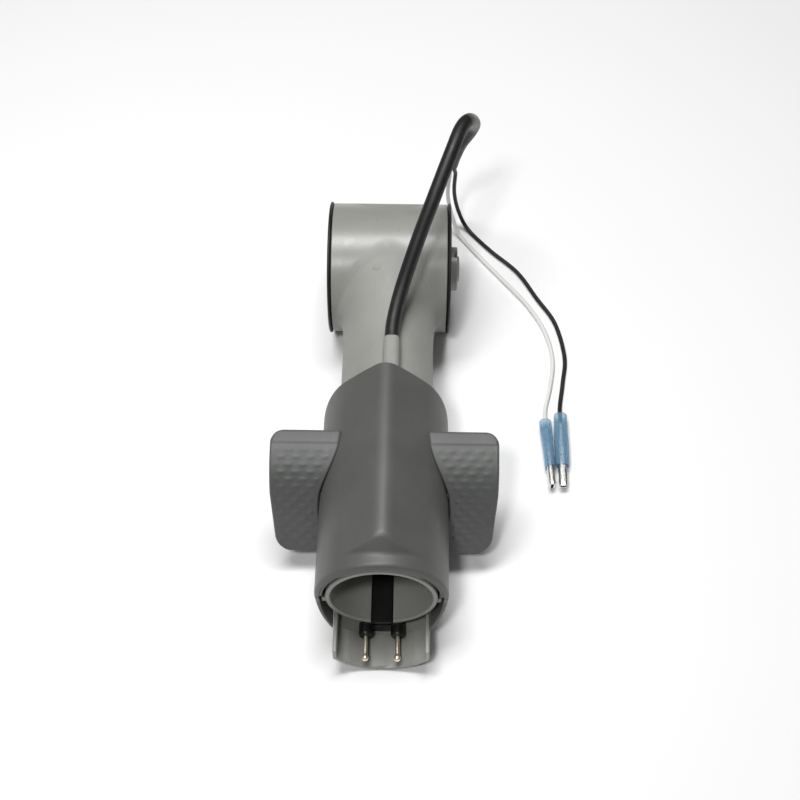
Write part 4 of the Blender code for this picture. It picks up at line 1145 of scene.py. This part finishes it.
def make_latch_pawl():
    """A lever under the roof: its tooth drops into the socket and the pedal's ramp lifts it."""
    top = [(-84.0, 22.0), (-89.5, 22.3), (-94.0, 23.0), (-119.0, 23.0), (-121.0, 21.5), (-136.5, 21.5)]
    tooth = [(-136.5, 19.7), (-136.0, 19.7), (-133.2, 15.8), (-131.7, 15.8), (-131.7, 19.7)]
    under = [(-120.6, 19.7), (-118.6, 21.1), (-104.4, 21.1), (-104.2, 20.1), (-102.6, 20.1), (-102.2, 21.1)]
    boss = [(-93.5, 21.1), (-92.4, 19.4), (-91.0, 18.9), (-89.6, 19.4), (-88.4, 20.4), (-84.0, 20.4)]
    lever = prism(softened(top + tooth + under + boss, 0.2, keep_axis=False), "X", -2.0, 2.0, 0.2)
    hole = rod(0.9, "X", (0, PIVOT_Y, PIVOT_Z), -5, 5, 32)
    piece("latch_pawl_moulding", "latch_pawl", [carved(lever, [hole])], "acetal", "latch")
    pin = rod(0.8, "X", (0, PIVOT_Y, PIVOT_Z), PIVOT_LOW.x, PIVOT_HIGH.x, 48, 0.25)
    piece("pawl_pivot_rod", "pawl_pivot_pin", [pin], "steel")


def coil(centre, along, radius, wire, length, turns):
    """A compression spring, wound from the +X side."""
    along, side = Vector(along), Vector((1, 0, 0))
    other = along.cross(side)
    per_turn = 24
    steps = turns * per_turn
    centres = []
    for i in range(steps + 1):
        angle = tau * i / per_turn
        across = side * cos(angle) + other * sin(angle)
        rise = wire + (length - 2 * wire) * i / steps
        centres.append(Vector(centre) + across * radius + along * rise)
    return loft([ring_at(f, wire, wire, 10) for f in frames_along(centres, along)])


def make_springs():
    low, high = span("pawl_spring")
    middle = (low + high) / 2
    body = coil((middle.x, middle.y, low.z), (0, 0, 1), 1.0, 0.18, high.z - low.z, 3)
    spring = piece("pawl_spring_coil", "pawl_spring", [body], "steel")
    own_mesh(spring)
    for name in ("pedal_spring_left", "pedal_spring_right"):
        low, high = span(name)
        middle = (low + high) / 2
        body = coil((middle.x, low.y, middle.z), (0, 1, 0), 1.05, 0.22, high.y - low.y, 7)
        spring = piece(name + "_coil", name, [body], "steel")
        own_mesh(spring)


# ---- Fasteners ----


def make_screw(name, x, y, shank, head, tip_z, seat_z):
    """A pan-head screw with a cross recess and a threaded shank."""
    head_z = span(name)[0].z
    crown = [(0, head_z), (head * 0.6, head_z), (head, head_z + 0.5), (head, seat_z), (shank, seat_z)]
    thread = []
    turns = int((tip_z - seat_z - 0.8) / 0.8)
    for n in range(turns):
        z = seat_z + 0.4 + 0.8 * n
        thread += [(shank - 0.15, z), (shank, z + 0.2), (shank, z + 0.3), (shank - 0.15, z + 0.5)]
    profile = softened(crown, 0.2) + thread + [(shank * 0.5, tip_z - 0.1), (0, tip_z)]
    body = lathe(profile, "Z", (x, y, 0), 48)
    arms = []
    for wide, tall in ((0.25, head * 0.5), (head * 0.5, 0.25)):
        arms.append(block((x - wide, y - tall, head_z - 1), (x + wide, y + tall, head_z + 0.8), 0.1))
    piece(name + "_turned", name, [carved(body, arms)], "steel")


def make_screws():
    for name, y in zip(("cover_screw_front", "cover_screw_rear"), COVER_SCREW_YS):
        make_screw(name, 0.0, y, 0.8, 2.4, -17.4, -23.2)
    for name, side in (("housing_screw_left", -1), ("housing_screw_right", 1)):
        make_screw(name, side * HOUSING_SCREW_X, HOUSING_SCREW_Y, 0.7, 1.9, -18.0, -25.3)


# ---- Stage ----


def make_floor():
    """A pale table top under the part."""
    bm = bmesh.new()
    bmesh.ops.create_grid(bm, x_segments=1, y_segments=1, size=3.0)
    floor = meshed("floor", bm)
    floor.location.z = CAD_BOX[0].z
    look = new_look("floor")
    look.set("Base Color", look.grey(look.ramp(look.noise(0.004), 0.3, 0.7, 0.93, 0.95)))
    look.set("Roughness", 0.7)
    floor.data.materials.append(MATERIALS["floor"])


def make_light(name, place, size, power):
    """A soft rectangular light that points at the middle of the neck."""
    data = bpy.data.lights.new(name, "AREA")
    data.shape = "RECTANGLE"
    data.size, data.size_y = size
    data.energy = power
    light = placed(name, data)
    light.location = DRUM_MIDDLE + Vector(place)
    light.rotation_euler = (Vector((0, -0.07, 0)) - Vector(place)).to_track_quat("-Z", "Y").to_euler()


def make_world():
    """A white room that is brighter overhead than at the horizon, and on the left than on the right."""
    world = bpy.data.worlds.new("studio")
    sky = Nodes(world)
    direction = sky.add("SeparateXYZ", {0: sky.places["Generated"]}).outputs
    level = sky.ramp(direction["Z"], 0.0, 0.9, 1.1, 1.8)
    sided = sky.math("MULTIPLY_ADD", direction["X"], -0.15, level)
    sky.put(sky.tree.nodes["Background"], "Strength", sided)
    bpy.context.scene.world = world


def make_camera():
    """The view of the photograph: from the mouth's side, looking steeply down."""
    data = bpy.data.cameras.new("camera")
    data.lens = 60.55
    data.clip_start = 0.01
    camera = placed("camera", data)
    yaw, tilt, roll = (radians(a) for a in (0.79, 90 - 54.92, 0.16))
    turn = Matrix.Rotation(yaw, 4, "Z") @ Matrix.Rotation(tilt, 4, "X") @ Matrix.Rotation(roll, 4, "Z")
    camera.matrix_world = Matrix.Translation(DRUM_MIDDLE + Vector((9.0, -355.7, 413.9)) * MM) @ turn
    bpy.context.scene.camera = camera


NECK_SOLIDS = [make_drum(), make_neck(), make_conduit(), *make_neck_details(), make_gate_mark()]
piece("neck_moulding", "neck_tube", NECK_SOLIDS, "light_grey", look="neck_grey")
make_covers()
make_plug_housing()
make_plug()
make_socket_seal()
for WORD, SIDE in (("left", -1), ("right", 1)):
    make_end_cap(f"end_cap_{WORD}", SIDE)
    make_end_seal(f"end_seal_{WORD}", SIDE)
    make_contact_pin(f"contact_pin_{WORD}", SIDE)
make_cord_sleeve()
make_cord_grommet()
for WORD, SIDE, SLOT in (("black", 1, "rubber_black"), ("white", -1, "white_insulation")):
    make_wire(f"wire_{WORD}", SIDE, SLOT)
    make_terminal_sleeve(f"terminal_sleeve_{WORD}", SIDE)
    make_terminal_receptacle(f"terminal_receptacle_{WORD}", SIDE)
make_release_pedal()
make_latch_pawl()
make_springs()
make_screws()

make_floor()
make_light("overhead", (-0.08, 0.08, 0.9), (0.6, 0.22), 7.5)
make_light("beside_camera", (-0.14, -0.47, 0.75), (0.10, 0.10), 2.3)
make_world()
make_camera()
bpy.context.scene.view_settings.view_transform = "Standard"
